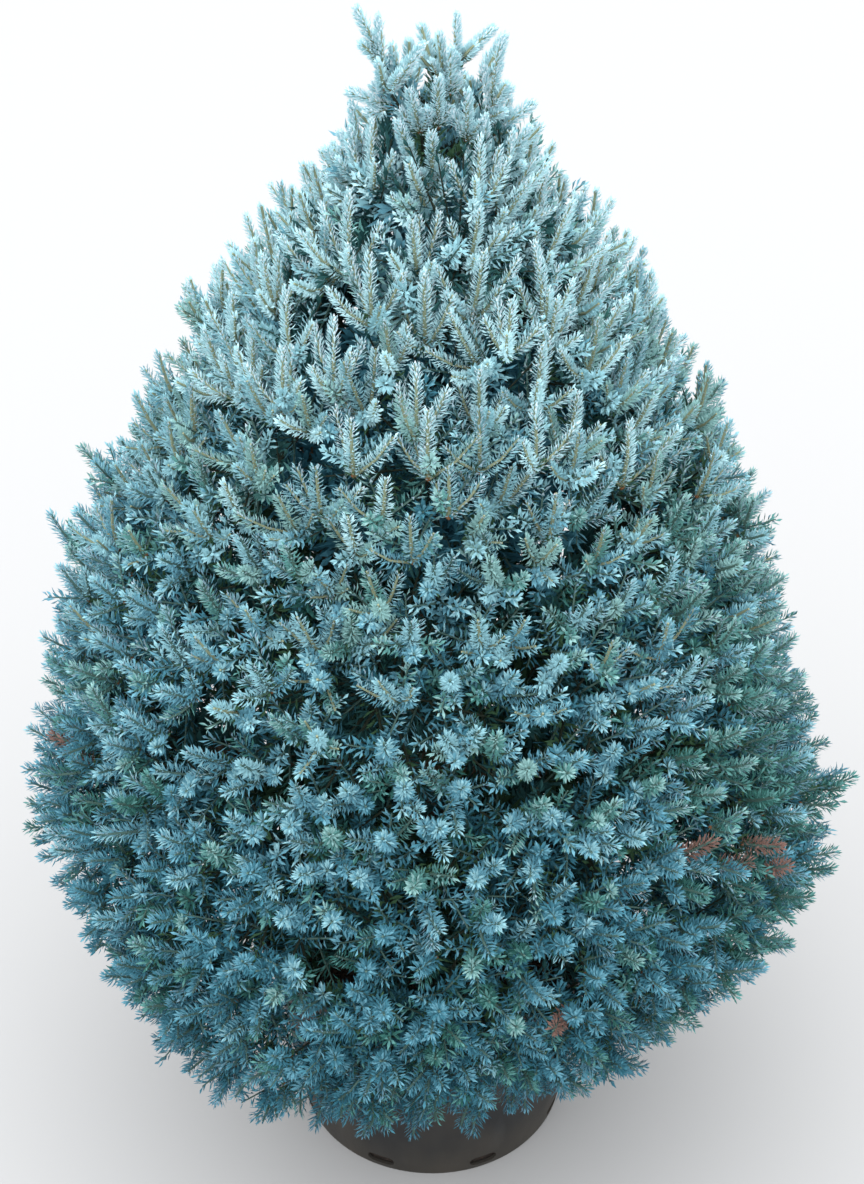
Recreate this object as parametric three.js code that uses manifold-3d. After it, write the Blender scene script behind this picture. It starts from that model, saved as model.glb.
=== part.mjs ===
// A dense blue spruce of egg-shaped habit, growing in a plain tapered nursery pot.
// Units are millimetres and +Z is up. The origin is the centre of the pot's flat underside.
//
// The pot is filled with bark compost. The trunk rises from it to a fork near the top, and
// boughs leave the trunk in four tiers. Each bough carries one mass of foliage: a cushion of
// crowded twigs with sprays of needles that stand out of it as far as the crown's outline.
// The two highest groups, the neck and the leader, grow straight from the trunk.
//
// The crown is laid out by two rules. The outline gives its radius at each share of its
// height. The growth angle gives the way that shoots point there, from drooping a little at
// the skirt to nearly upright at the top. Every mass keeps to the cell between two planes
// through the axis and two cones that follow the growth angle.

import * as THREE from "three";
import { mergeVertices } from "three/addons/utils/BufferGeometryUtils.js";
import Module from "manifold-3d";

const wasm = await Module();
wasm.setup();

const DEGREE = Math.PI / 180;
const GOLDEN_ANGLE = Math.PI * (3 - Math.sqrt(5));

// Sprays stand in rows that are offset from each other, each strayed a little from its place.
const ROW_OFFSET = 0.22;
const STRAY = 0.3;

// Clearance left between two pieces that meet.
const SEAT_GAP = 0.3;

// Pot
const POT_HEIGHT = 296;
const POT_FOOT_RADIUS = 150;
const POT_SHOULDER_RADIUS = 184;
const POT_BAND_RADIUS = 190;
const POT_LIP_RADIUS = 200;
const POT_WALL = 4;
const POT_BAND_HEIGHT = 44;
const POT_LIP_HEIGHT = 13;
const POT_SIDES = 30;
const DRAIN_COUNT = 8;
const DRAIN_SIZE = { width: 32, height: 14, above: 8, through: 24 };

// Compost
const SOIL_BELOW_RIM = 22;
const SOIL_FALL = 6;
const SOIL_FLAT_RADIUS = 62;
const SOIL_LEVEL = POT_HEIGHT - SOIL_BELOW_RIM;

// Trunk
const TRUNK_FOOT = SOIL_LEVEL + SEAT_GAP;
const TRUNK_TOP = 1168;
const TRUNK_RADIUS = 25;
const TRUNK_TIP_RADIUS = 5.5;
const FLARE_RADIUS = 13;
const FLARE_HEIGHT = 38;
const FLARE_LOBES = 5;
const TRUNK_SWAY = 7;

// Crown outline and growth
const CROWN_FOOT = 278;
const CROWN_HEIGHT = 1040;
const CROWN_RADIUS = 411;
const TUFT_RADIUS = 45;
const WIDEST_AT = 0.21;
const SKIRT_TUCK = 0.32;
const SWELL = 0.018;
const SHOULDER = 0.95;
const GROWTH_LOW = -15 * DEGREE;
const GROWTH_HIGH = 80 * DEGREE;
const GROWTH_BEND = 0.8;

// Tiers of boughs and masses, from the skirt up. "from" and "to" are shares of the crown's
// height at its outline, "root" is the height where the limb leaves the trunk, "depth" is how
// far the cushion's middle lies behind the outline, and "thick" is half its thickness.
const TIERS = [
  { name: "skirt", count: 7, from: -0.06, to: 0.215, turn: 12, root: 344, depth: 108, thick: 34, limb: 10 },
  { name: "lower", count: 7, from: 0.215, to: 0.44, turn: 38, root: 440, depth: 110, thick: 36, limb: 11 },
  { name: "middle", count: 6, from: 0.44, to: 0.655, turn: 20, root: 590, depth: 108, thick: 36, limb: 9.5 },
  { name: "upper", count: 5, from: 0.655, to: 0.83, turn: 55, root: 770, depth: 96, thick: 32, limb: 8 },
  { name: "neck", count: 4, from: 0.83, to: 0.935, turn: 15, root: 980, depth: 78, thick: 22, limb: 6 },
];
const SPRAYS = {
  skirt: { rows: 2, across: 5 },
  lower: { rows: 3, across: 4 },
  middle: { rows: 3, across: 4 },
  upper: { rows: 3, across: 3 },
  neck: { rows: 3, across: 2 },
};
const BOUGHLESS = "neck";
const STEM_SHOWN = 20;
const ROOT_STAGGER = 90;
const LIMB_TIP_SHARE = 0.62;
const CUSHION_FILL = 0.955;
const CUSHION_LOW = { skirt: 0.24, lower: 0.015, middle: 0.015, upper: 0.015, neck: 0.03 };
const CUSHION_HIGH = 0.985;
const CUSHION_ROUNDING = 0.66;

// Sprays
const SPRAY_FAN = 0.8;
const SPRAY_SPREAD = 26;
const SPREAD_FALL = 0.4;
const SPRAY_INSET = 0.45;
const SHORTEST = 14;
const DRAW_IN = 0.04;
const ATTEMPTS = 9;
const DETAIL = 1;
const CELL_CLEARANCE = 1.6;
const LEADER_FROM = 0.935;
const LEADER_SPRAYS = 8;
const LEADER_SPREAD = 18;
const LEADER_KNOT = { radius: 36, height: 112, above: 4, sprayFoot: 0.12 };

// A number from 0 to 1 that depends only on its seed.
function chance(seed) {
  const x = Math.sin(seed * 12.9898) * 43758.5453;
  return x - Math.floor(x);
}

// Crown field

function crownRadius(share, azimuth) {
  const swell = 1 + SWELL * (Math.sin(2 * azimuth + 0.8) + Math.sin(3 * azimuth + 2.1));
  if (share < WIDEST_AT) {
    const below = (WIDEST_AT - share) / WIDEST_AT;
    return swell * CROWN_RADIUS * Math.sqrt(1 - SKIRT_TUCK * below * below);
  }
  const above = Math.min((share - WIDEST_AT) / (1 - WIDEST_AT), 1);
  const taper = Math.cos((above ** SHOULDER * Math.PI) / 2);
  return TUFT_RADIUS + (swell * CROWN_RADIUS - TUFT_RADIUS) * taper;
}

function growthAngle(share) {
  return GROWTH_LOW + (GROWTH_HIGH - GROWTH_LOW) * Math.max(share, 0) ** GROWTH_BEND;
}

// The way that shoots point at a place on the outline.
function growthWay(azimuth, share) {
  const rise = growthAngle(share);
  const out = Math.cos(rise);
  return new THREE.Vector3(out * Math.cos(azimuth), out * Math.sin(azimuth), Math.sin(rise));
}

// The point a given depth behind the outline, back along the way of growth.
function crownPoint(azimuth, share, depth) {
  const radius = crownRadius(share, azimuth);
  const height = CROWN_FOOT + share * CROWN_HEIGHT;
  const edge = new THREE.Vector3(radius * Math.cos(azimuth), radius * Math.sin(azimuth), height);
  return edge.addScaledVector(growthWay(azimuth, share), -depth);
}

// How far a point lies above the cone that follows the growth angle from this share.
function aboveCone(point, share) {
  const azimuth = Math.atan2(point.y, point.x);
  const out = Math.hypot(point.x, point.y) - crownRadius(share, azimuth);
  const up = point.z - (CROWN_FOOT + share * CROWN_HEIGHT);
  const rise = growthAngle(share);
  return up * Math.cos(rise) - out * Math.sin(rise);
}

// How far a point lies inside its cell, at the nearest of the cell's walls.
function insideCell(point, cell) {
  const floor = cell.from > 0 ? aboveCone(point, cell.from) : Infinity;
  const ceiling = -aboveCone(point, cell.to);
  const turn = Math.atan2(point.y, point.x) - cell.azimuth;
  const off = Math.abs(Math.atan2(Math.sin(turn), Math.cos(turn)));
  const side = Math.hypot(point.x, point.y) * Math.sin(cell.halfTurn - off);
  return Math.min(floor, ceiling, side);
}

// Solids

function solidOf(geometry) {
  const bare = geometry.index ? geometry.toNonIndexed() : geometry.clone();
  bare.deleteAttribute("normal");
  bare.deleteAttribute("uv");
  const merged = mergeVertices(bare, 1e-3);
  return new wasm.Manifold(
    new wasm.Mesh({
      numProp: 3,
      vertProperties: merged.attributes.position.array,
      triVerts: new Uint32Array(merged.index.array),
    }),
  );
}

function geometryOf(solid) {
  const mesh = solid.getMesh();
  const geometry = new THREE.BufferGeometry();
  geometry.setAttribute("position", new THREE.BufferAttribute(mesh.vertProperties, 3));
  geometry.setIndex(new THREE.BufferAttribute(mesh.triVerts, 1));
  geometry.computeVertexNormals();
  return geometry;
}

// The largest outer body of a solid, without loose scraps and sealed hollows.
function mainBody(solid) {
  return solid.decompose().sort((a, b) => b.volume() - a.volume())[0];
}

// A closed limb along a curve. The section at share u has the radius radiusAt(u, angle).
function limb(curve, radiusAt, sides, steps) {
  const geometry = new THREE.CylinderGeometry(1, 1, 1, sides, steps);
  const frames = curve.computeFrenetFrames(steps, false);
  const places = geometry.attributes.position;
  for (let i = 0; i < places.count; i++) {
    const u = 0.5 - places.getY(i);
    const k = Math.round(u * steps);
    const angle = Math.atan2(places.getZ(i), places.getX(i));
    const radius = Math.hypot(places.getX(i), places.getZ(i)) * radiusAt(u, angle);
    const point = curve
      .getPointAt(u)
      .addScaledVector(frames.normals[k], radius * Math.cos(angle))
      .addScaledVector(frames.binormals[k], radius * Math.sin(angle));
    places.setXYZ(i, point.x, point.y, point.z);
  }
  const solid = solidOf(geometry);
  return solid.volume() > 0 ? solid : solidOf(flipped(geometry));
}

function flipped(geometry) {
  const turned = geometry.clone();
  const order = turned.index.array;
  for (let i = 0; i < order.length; i += 3) {
    [order[i + 1], order[i + 2]] = [order[i + 2], order[i + 1]];
  }
  return turned;
}

// Pot and compost

function potOutline() {
  const shoulder = POT_HEIGHT - POT_BAND_HEIGHT;
  const lip = POT_HEIGHT - POT_LIP_HEIGHT;
  const innerBand = POT_BAND_RADIUS - POT_WALL;
  return [
    [0, 0],
    [POT_FOOT_RADIUS - 4, 0],
    [POT_FOOT_RADIUS, 4],
    [POT_SHOULDER_RADIUS, shoulder],
    [POT_BAND_RADIUS, shoulder + 6],
    [POT_BAND_RADIUS + 2, lip],
    [POT_LIP_RADIUS, lip + 1],
    [POT_LIP_RADIUS, POT_HEIGHT - 4],
    [POT_LIP_RADIUS - 4, POT_HEIGHT],
    [innerBand + 2, POT_HEIGHT],
    [innerBand, shoulder + 4],
    [POT_SHOULDER_RADIUS - POT_WALL, shoulder - 2],
    [POT_FOOT_RADIUS - POT_WALL, POT_WALL],
    [0, POT_WALL],
  ].map(([radius, height]) => new THREE.Vector2(radius, height));
}

// LatheGeometry turns its outline about Y, and the pot stands along Z.
function turned(outline) {
  const lathe = (points) => solidOf(new THREE.LatheGeometry(points, POT_SIDES).rotateX(Math.PI / 2));
  const solid = lathe(outline);
  return solid.volume() > 0 ? solid : lathe(outline.reverse());
}

function makePot() {
  let pot = turned(potOutline());
  const { width, height, above, through } = DRAIN_SIZE;
  for (let i = 0; i < DRAIN_COUNT; i++) {
    const slot = new THREE.BoxGeometry(through, width, height)
      .translate(POT_FOOT_RADIUS - 2, 0, above + height / 2)
      .rotateZ(((i + 0.5) * 2 * Math.PI) / DRAIN_COUNT);
    pot = pot.subtract(solidOf(slot));
  }
  return pot;
}

function makeSoil() {
  const shoulder = POT_HEIGHT - POT_BAND_HEIGHT;
  const slack = POT_WALL + SEAT_GAP + 0.2;
  return turned([
    new THREE.Vector2(0, POT_WALL + SEAT_GAP),
    new THREE.Vector2(POT_FOOT_RADIUS - slack, POT_WALL + SEAT_GAP),
    new THREE.Vector2(POT_SHOULDER_RADIUS - slack, shoulder - 2),
    new THREE.Vector2(POT_BAND_RADIUS - slack, shoulder + 4),
    new THREE.Vector2(POT_BAND_RADIUS - slack, SOIL_LEVEL - SOIL_FALL),
    new THREE.Vector2(SOIL_FLAT_RADIUS, SOIL_LEVEL),
    new THREE.Vector2(0, SOIL_LEVEL),
  ]);
}

// Trunk

// The line starts a little below the compost, and the trunk is cut flat there.
const TRUNK_START = TRUNK_FOOT - 6;
const trunkLine = new THREE.CatmullRomCurve3(
  [0, 0.25, 0.5, 0.75, 1].map((u) => {
    const away = TRUNK_SWAY * Math.sin(u * Math.PI * 1.6);
    const height = TRUNK_START + u * (TRUNK_TOP - TRUNK_START);
    return new THREE.Vector3(away, -0.6 * away * (1 - u), height);
  }),
);

function trunkRadius(u, angle) {
  const above = u * (TRUNK_TOP - TRUNK_START);
  const plain = TRUNK_TIP_RADIUS + (TRUNK_RADIUS - TRUNK_TIP_RADIUS) * (1 - u) ** 0.85;
  const lobes = 0.75 + 0.25 * Math.cos(FLARE_LOBES * angle + 0.7);
  return plain + FLARE_RADIUS * lobes * Math.exp(-above / FLARE_HEIGHT);
}

const TRUNK_SIDES = 10;
const TRUNK_STEPS = 14;
const trunk = limb(trunkLine, trunkRadius, TRUNK_SIDES, TRUNK_STEPS).trimByPlane([0, 0, 1], TRUNK_FOOT);
const trunkWithGap = limb(trunkLine, (u, a) => trunkRadius(u, a) + SEAT_GAP * 1.2, TRUNK_SIDES, TRUNK_STEPS);

function trunkPoint(height) {
  return trunkLine.getPointAt((height - TRUNK_START) / (TRUNK_TOP - TRUNK_START));
}

// Cells, boughs and masses

function cellsOf(tier) {
  const cells = [];
  for (let i = 0; i < tier.count; i++) {
    const halfTurn = Math.PI / tier.count;
    cells.push({
      ...tier,
      label: `${tier.name}_${i + 1}`,
      azimuth: tier.turn * DEGREE + i * 2 * halfTurn,
      halfTurn,
      root: tier.root + ROOT_STAGGER * (((2 * i) % tier.count) / tier.count - 0.5),
    });
  }
  return cells;
}

// A point of a cell: across and up run from 0 to 1 between its walls.
function cellPoint(cell, across, up, depth) {
  const azimuth = cell.azimuth + (across * 2 - 1) * cell.halfTurn;
  return crownPoint(azimuth, cell.from + up * (cell.to - cell.from), depth);
}

function cellMiddle(cell) {
  return (CUSHION_LOW[cell.name] + CUSHION_HIGH) / 2;
}

// Where the bough ends and the mass's own stem begins, and the way that both point there.
function stemFoot(cell) {
  const share = cell.from + cellMiddle(cell) * (cell.to - cell.from);
  return {
    point: crownPoint(cell.azimuth, share, cell.depth + cell.thick + STEM_SHOWN),
    way: growthWay(cell.azimuth, share),
  };
}

function limbLine(cell, end, way) {
  const start = trunkPoint(cell.root);
  const reach = start.distanceTo(end);
  const out = new THREE.Vector3(Math.cos(cell.azimuth), Math.sin(cell.azimuth), 0.35).normalize();
  const first = start.clone().addScaledVector(out, reach * 0.4);
  const last = end.clone().addScaledVector(way, -reach * 0.35);
  return new THREE.CubicBezierCurve3(start, first, last, end);
}

const LIMB_SIDES = 5;
const LIMB_STEPS = 3;

function makeBough(cell) {
  const { point, way } = stemFoot(cell);
  const taper = (u) => cell.limb * (1 - (1 - LIMB_TIP_SHARE) * u);
  return mainBody(limb(limbLine(cell, point, way), taper, LIMB_SIDES, LIMB_STEPS).subtract(trunkWithGap));
}

// The stem of a mass, from its bough's end or from the trunk to the middle of the cushion.
function makeStem(cell) {
  const { point, way } = stemFoot(cell);
  const heart = cellPoint(cell, 0.5, cellMiddle(cell), cell.depth);
  if (cell.name === BOUGHLESS) {
    const taper = (u) => cell.limb * (1 - 0.3 * u);
    return mainBody(limb(limbLine(cell, heart, way), taper, LIMB_SIDES, LIMB_STEPS).subtract(trunkWithGap));
  }
  const foot = point.clone().addScaledVector(way, SEAT_GAP);
  const radius = cell.limb * LIMB_TIP_SHARE;
  return limb(new THREE.LineCurve3(foot, heart), () => radius, LIMB_SIDES, 1);
}

// The cushion of crowded twigs: a rounded tile that follows the crown's outline.
function makeCushion(cell) {
  const geometry = new THREE.SphereGeometry(1, 8, 5);
  const places = geometry.attributes.position;
  for (let i = 0; i < places.count; i++) {
    const round = (value) => Math.sign(value) * Math.abs(value) ** CUSHION_ROUNDING;
    const across = 0.5 + (CUSHION_FILL / 2) * round(places.getX(i));
    const half = (CUSHION_HIGH - CUSHION_LOW[cell.name]) / 2;
    const up = cellMiddle(cell) + half * round(places.getY(i));
    const depth = cell.depth - cell.thick * places.getZ(i);
    const point = cellPoint(cell, across, up, depth);
    places.setXYZ(i, point.x, point.y, point.z);
  }
  const solid = solidOf(geometry);
  return solid.volume() > 0 ? solid : solidOf(flipped(geometry));
}

// A spray of needles: a slim core, pointed at both ends, that pairs of needles stand out of.
// Each pair is turned a quarter of a circle from the one before it.
const SPRAY_PAIRS = [
  { along: 0.34, needle: 1, core: 0.24, forward: 0.13 },
  { along: 0.54, needle: 0.9, core: 0.22, forward: 0.13 },
  { along: 0.74, needle: 0.62, core: 0.16, forward: 0.12 },
];

function sprayPoints(root, tip, spread, turn) {
  const length = root.distanceTo(tip);
  const way = tip.clone().sub(root).normalize();
  const toPlace = new THREE.Quaternion().setFromUnitVectors(new THREE.Vector3(0, 0, 1), way);
  const local = [[0, 0, 0]];
  SPRAY_PAIRS.forEach(({ along, needle, core, forward }, pair) => {
    for (let i = 0; i < 4; i++) {
      const angle = turn + (i * Math.PI) / 2;
      const stands = i % 2 === pair % 2;
      const radius = spread * (stands ? needle : core);
      const height = length * (along + (stands ? forward : 0));
      local.push([radius * Math.cos(angle), radius * Math.sin(angle), height]);
    }
  });
  local.push([0, 0, length]);
  return local.map((p) => new THREE.Vector3(...p).applyQuaternion(toPlace).add(root));
}

function sprayFaces() {
  const tip = 1 + 4 * SPRAY_PAIRS.length;
  const last = tip - 4;
  const faces = [];
  for (let i = 0; i < 4; i++) {
    const next = (i + 1) % 4;
    faces.push([0, 1 + next, 1 + i], [last + i, last + next, tip]);
    for (let ring = 1; ring < last; ring += 4) {
      const a = ring + i;
      const b = ring + next;
      faces.push([a, b, b + 4], [a, b + 4, a + 4]);
    }
  }
  return faces;
}

function spraySolid(points) {
  const geometry = new THREE.BufferGeometry().setFromPoints(points);
  geometry.setIndex(sprayFaces().flat());
  const solid = solidOf(geometry);
  return solid.volume() > 0 ? solid : solidOf(flipped(geometry));
}

// The place on the outline where a spray of a mass ends, in shares of its cell.
function sprayPlace(cell, row, column, seed) {
  const { rows, across } = SPRAYS[cell.name];
  const inset = (value, margin) => margin + (1 - 2 * margin) * value;
  const margin = SPRAY_INSET * SPRAY_SPREAD;
  const offset = row % 2 ? ROW_OFFSET : -ROW_OFFSET;
  const up = (row + 0.5 + STRAY * (chance(seed) - 0.5)) / rows;
  const side = (column + 0.5 + offset + STRAY * (chance(seed + 0.5) - 0.5)) / across;
  const rise = aboveCone(crownPoint(cell.azimuth, cell.to, 0), cell.from);
  const radius = crownRadius(cell.from + up * (cell.to - cell.from), cell.azimuth);
  return {
    up: inset(up, margin / rise),
    across: inset(side, margin / (2 * cell.halfTurn * radius)),
  };
}

// A spray from the cushion to its tip, drawn in from the cell's walls until it fits.
function fitSpray(cell, row, column) {
  const seed = cell.seed * 50 + row * 10 + column;
  const place = sprayPlace(cell, row, column, seed);
  const short = SHORTEST * chance(seed);
  const spread = SPRAY_SPREAD * (1 - SPREAD_FALL * (1 - cell.depth / TIERS[1].depth));
  for (let attempt = 0; attempt < ATTEMPTS; attempt++) {
    const keep = 1 - DRAW_IN * attempt;
    const across = (place.across - 0.5) * keep;
    const up = (place.up - 0.5) * keep;
    const rootUp = cellMiddle(cell) + up * (CUSHION_HIGH - CUSHION_LOW[cell.name]) * SPRAY_FAN;
    const root = cellPoint(cell, 0.5 + across * SPRAY_FAN, rootUp, cell.depth);
    const points = sprayPoints(root, cellPoint(cell, 0.5 + across, 0.5 + up, short), spread, seed);
    if (points.every((point) => insideCell(point, cell) > CELL_CLEARANCE)) {
      return spraySolid(points);
    }
  }
  return null;
}

function makeMass(cell) {
  const pieces = [makeCushion(cell)];
  const { rows, across } = SPRAYS[cell.name];
  for (let row = 0; row < rows; row++) {
    for (let column = 0; column < across; column++) {
      const spray = fitSpray(cell, row, column);
      if (spray) {
        pieces.push(spray);
      }
    }
  }
  return mainBody(wasm.Manifold.union(pieces).simplify(DETAIL).add(makeStem(cell)));
}

// The leading shoots above the fork, with a small knot of twigs that they stand out of.
function makeLeader() {
  const foot = trunkLine.getPointAt(1);
  const way = trunkLine.getTangentAt(1);
  const start = foot.clone().addScaledVector(way, SEAT_GAP);
  const { radius, height, above, sprayFoot } = LEADER_KNOT;
  const knot = start.clone().addScaledVector(way, height / 2 + above);
  const stem = limb(new THREE.LineCurve3(start, knot), () => TRUNK_TIP_RADIUS, TRUNK_SIDES, 1);
  const pieces = [
    solidOf(new THREE.IcosahedronGeometry(1, 1).scale(radius, radius, height / 2).translate(...knot)),
  ];
  for (let k = 0; k < LEADER_SPRAYS; k++) {
    const share = LEADER_FROM + (1 - LEADER_FROM) * ((k + 0.5) / LEADER_SPRAYS) ** 0.5;
    const tip = crownPoint(k * GOLDEN_ANGLE, share, SHORTEST * chance(k + 1));
    const root = knot.clone().lerp(tip, sprayFoot);
    const points = sprayPoints(root, tip, LEADER_SPREAD, k);
    if (points.every((point) => aboveCone(point, LEADER_FROM) > CELL_CLEARANCE)) {
      pieces.push(spraySolid(points));
    }
  }
  return mainBody(wasm.Manifold.union(pieces).simplify(DETAIL).add(stem));
}

// The finished plant

const POT_PLASTIC = new THREE.MeshStandardMaterial({ color: 0x2b2d2e, roughness: 0.55, metalness: 0 });
const COMPOST = new THREE.MeshStandardMaterial({ color: 0x3a2a1f, roughness: 0.95, metalness: 0 });
const BARK = new THREE.MeshStandardMaterial({ color: 0x6d5a4a, roughness: 0.9, metalness: 0 });
const NEEDLES = new THREE.MeshStandardMaterial({ color: 0x7fa6ae, roughness: 0.6, metalness: 0 });

const spruce = new THREE.Group();

function add(name, solid, material) {
  const mesh = new THREE.Mesh(geometryOf(solid), material);
  mesh.name = name;
  spruce.add(mesh);
}

add("pot", makePot(), POT_PLASTIC);
add("compost", makeSoil(), COMPOST);
add("trunk", trunk, BARK);

TIERS.flatMap(cellsOf).forEach((cell, i) => {
  const placed = { ...cell, seed: i + 1 };
  if (cell.name !== BOUGHLESS) {
    add(`bough_${cell.label}`, makeBough(placed), BARK);
  }
  add(`mass_${cell.label}`, makeMass(placed), NEEDLES);
});
add("mass_leader", makeLeader(), NEEDLES);

export default spruce;
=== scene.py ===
"""Dresses the solids of a potted blue spruce: bark, twigs, needles, compost and pot."""

import math

import bpy
import numpy as np
from bpy.props import FloatProperty, FloatVectorProperty, IntProperty, PointerProperty
from bpy.types import Operator, Panel, PropertyGroup
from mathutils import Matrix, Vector


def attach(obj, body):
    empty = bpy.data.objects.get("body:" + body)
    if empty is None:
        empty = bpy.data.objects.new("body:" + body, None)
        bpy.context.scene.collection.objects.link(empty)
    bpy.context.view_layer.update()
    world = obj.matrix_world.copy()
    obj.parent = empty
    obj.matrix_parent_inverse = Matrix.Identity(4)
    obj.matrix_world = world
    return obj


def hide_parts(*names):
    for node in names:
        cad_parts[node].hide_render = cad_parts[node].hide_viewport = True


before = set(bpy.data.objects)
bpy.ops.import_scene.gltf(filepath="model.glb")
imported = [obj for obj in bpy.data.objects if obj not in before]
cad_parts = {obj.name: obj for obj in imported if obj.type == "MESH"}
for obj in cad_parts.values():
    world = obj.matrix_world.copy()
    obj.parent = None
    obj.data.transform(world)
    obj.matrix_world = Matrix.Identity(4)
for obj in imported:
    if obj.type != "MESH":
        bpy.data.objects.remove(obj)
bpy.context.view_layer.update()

bl_info = {
    "name": "Potted blue spruce",
    "version": (1, 0, 0),
    "blender": (4, 5, 0),
    "location": "View3D > Sidebar > Spruce",
    "description": "Grows bark, twigs and needles over the solids of a potted spruce",
    "category": "Object",
}

BODY = "root"
GOLDEN_ANGLE = math.pi * (3 - math.sqrt(5))
SEED = 41
# Straight up, and the factors that make a way level.
UP = np.array([0.0, 0.0, 1.0])
LEVEL = np.array([1, 1, 0])

# The crown, as in the part's source, in metres. Shares are shares of the crown's height.
CROWN_FOOT = 0.278
CROWN_HEIGHT = 1.040
CROWN_RADIUS = 0.411
TUFT_RADIUS = 0.045
WIDEST_AT = 0.21
SKIRT_TUCK = 0.32
SWELL = 0.018
SWELL_WAVES = ((2, 0.8), (3, 2.1))
SHOULDER = 0.95
GROWTH_LOW = math.radians(-15)
GROWTH_HIGH = math.radians(80)
GROWTH_BEND = 0.8
# How many degrees the outer shoots rise, at some shares of the height.
RISE_SHARES = (-0.06, 0.03, 0.13, 0.35, 0.5, 0.62, 0.75)
RISE_DEGREES = (-34, 0, 24, 38, 56, 74, 84)
# A tier has some cells of equal width between two shares of the height. Its turn is the azimuth of its first
# cell in degrees, root the height of its boughs' feet, limb their radius. Depth and thick are its hearts'.
TIERS = (
    dict(
        name="skirt", count=7, low=-0.06, high=0.215, turn=12,
        root=0.344, depth=0.108, thick=0.034, limb=0.010,
    ),
    dict(
        name="lower", count=7, low=0.215, high=0.44, turn=38,
        root=0.440, depth=0.110, thick=0.036, limb=0.011,
    ),
    dict(
        name="middle", count=6, low=0.44, high=0.655, turn=20,
        root=0.590, depth=0.108, thick=0.036, limb=0.0095,
    ),
    dict(
        name="upper", count=5, low=0.655, high=0.83, turn=55,
        root=0.770, depth=0.096, thick=0.032, limb=0.008,
    ),
    dict(
        name="neck", count=4, low=0.83, high=0.935, turn=15,
        root=0.980, depth=0.078, thick=0.022, limb=0.006,
    ),
)
# The rows of hubs in a cell, and the hubs in each row.
HUB_ROWS = {"skirt": (2, 5), "lower": (3, 4), "middle": (3, 4), "upper": (3, 3), "neck": (3, 2)}
# How far apart the whorls of a tier stand, against the whorl spacing.
SPACING_SCALES = {"skirt": 0.92, "lower": 0.93, "middle": 0.97, "upper": 1.05, "neck": 1.05}
# The short twigs round each hub, and further ones in some tiers.
HUB_TWIGS = 3
EXTRA_HUB_TWIGS = {"skirt": 2, "lower": 2, "middle": 1, "upper": 0, "neck": 0}
# The tier whose masses have no boughs, how far the boughs' feet are staggered, and how much of a stem shows.
BOUGHLESS = "neck"
ROOT_STAGGER = 0.090
STEM_SHOWN = 0.020
# How far the solids' masses keep from their tier's edges, in shares of its height: more at the foot of two.
CELL_INSET = 0.015
LOW_INSETS = {"skirt": 0.24, "neck": 0.03}
# How deep the heart lies in a mass, in shares of its thickness, and the radius of a bough's end in its own.
HEART_SHARE = 0.3
LIMB_TIP_SHARE = 0.62
# How a bough bends: its rise at the trunk, and how far its two handles reach.
BOUGH_RISE = 0.35
FIRST_HANDLE = 0.4
LAST_HANDLE = 0.35

# The trunk, as in the part's source.
SOIL_LEVEL = 0.274
TRUNK_FOOT = 0.2743
TRUNK_START = 0.2683
TRUNK_TOP = 1.168
TRUNK_RADIUS = 0.025
TRUNK_TIP_RADIUS = 0.0055
FLARE_RADIUS = 0.013
FLARE_HEIGHT = 0.038
FLARE_LOBES = 5
LOBE_DEPTH = 0.25
LOBE_TURN = 0.7
TRUNK_TAPER = 0.85
TRUNK_SWAY = 0.007
SWAY_TURNS = 1.6
SWAY_FORWARD = 0.6

# The leading shoots: x and z of the tip, x and z of the foot, and how far forward they stand.
LEADING_SHOOTS = (
    (-0.065, 1.320, -0.045, 1.275, 0.000),
    (-0.045, 1.315, -0.040, 1.245, 0.005),
    (-0.075, 1.245, -0.035, 1.230, 0.005),
    (-0.070, 1.235, -0.060, 1.180, 0.005),
    (-0.010, 1.300, 0.000, 1.260, -0.010),
    (0.005, 1.295, 0.010, 1.250, -0.005),
    (-0.005, 1.295, -0.035, 1.250, 0.020),
    (-0.035, 1.285, -0.025, 1.245, -0.005),
    (0.020, 1.315, 0.020, 1.260, 0.000),
    (0.015, 1.290, 0.015, 1.245, 0.015),
    (0.055, 1.300, 0.025, 1.270, -0.005),
    (0.060, 1.295, 0.050, 1.230, 0.000),
    (0.070, 1.250, 0.045, 1.220, 0.005),
    (0.090, 1.235, 0.055, 1.205, 0.005),
    (0.005, 1.270, 0.005, 1.220, 0.030),
    (0.030, 1.260, 0.030, 1.210, 0.035),
    (-0.020, 1.260, -0.010, 1.215, 0.030),
    (0.045, 1.240, 0.045, 1.170, 0.040),
    (-0.030, 1.240, -0.015, 1.185, 0.050),
    (-0.070, 1.220, -0.065, 1.165, 0.020),
    (-0.095, 1.195, -0.070, 1.155, 0.010),
    (0.085, 1.220, 0.060, 1.170, 0.020),
    (0.000, 1.235, 0.000, 1.175, 0.060),
)

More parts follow.
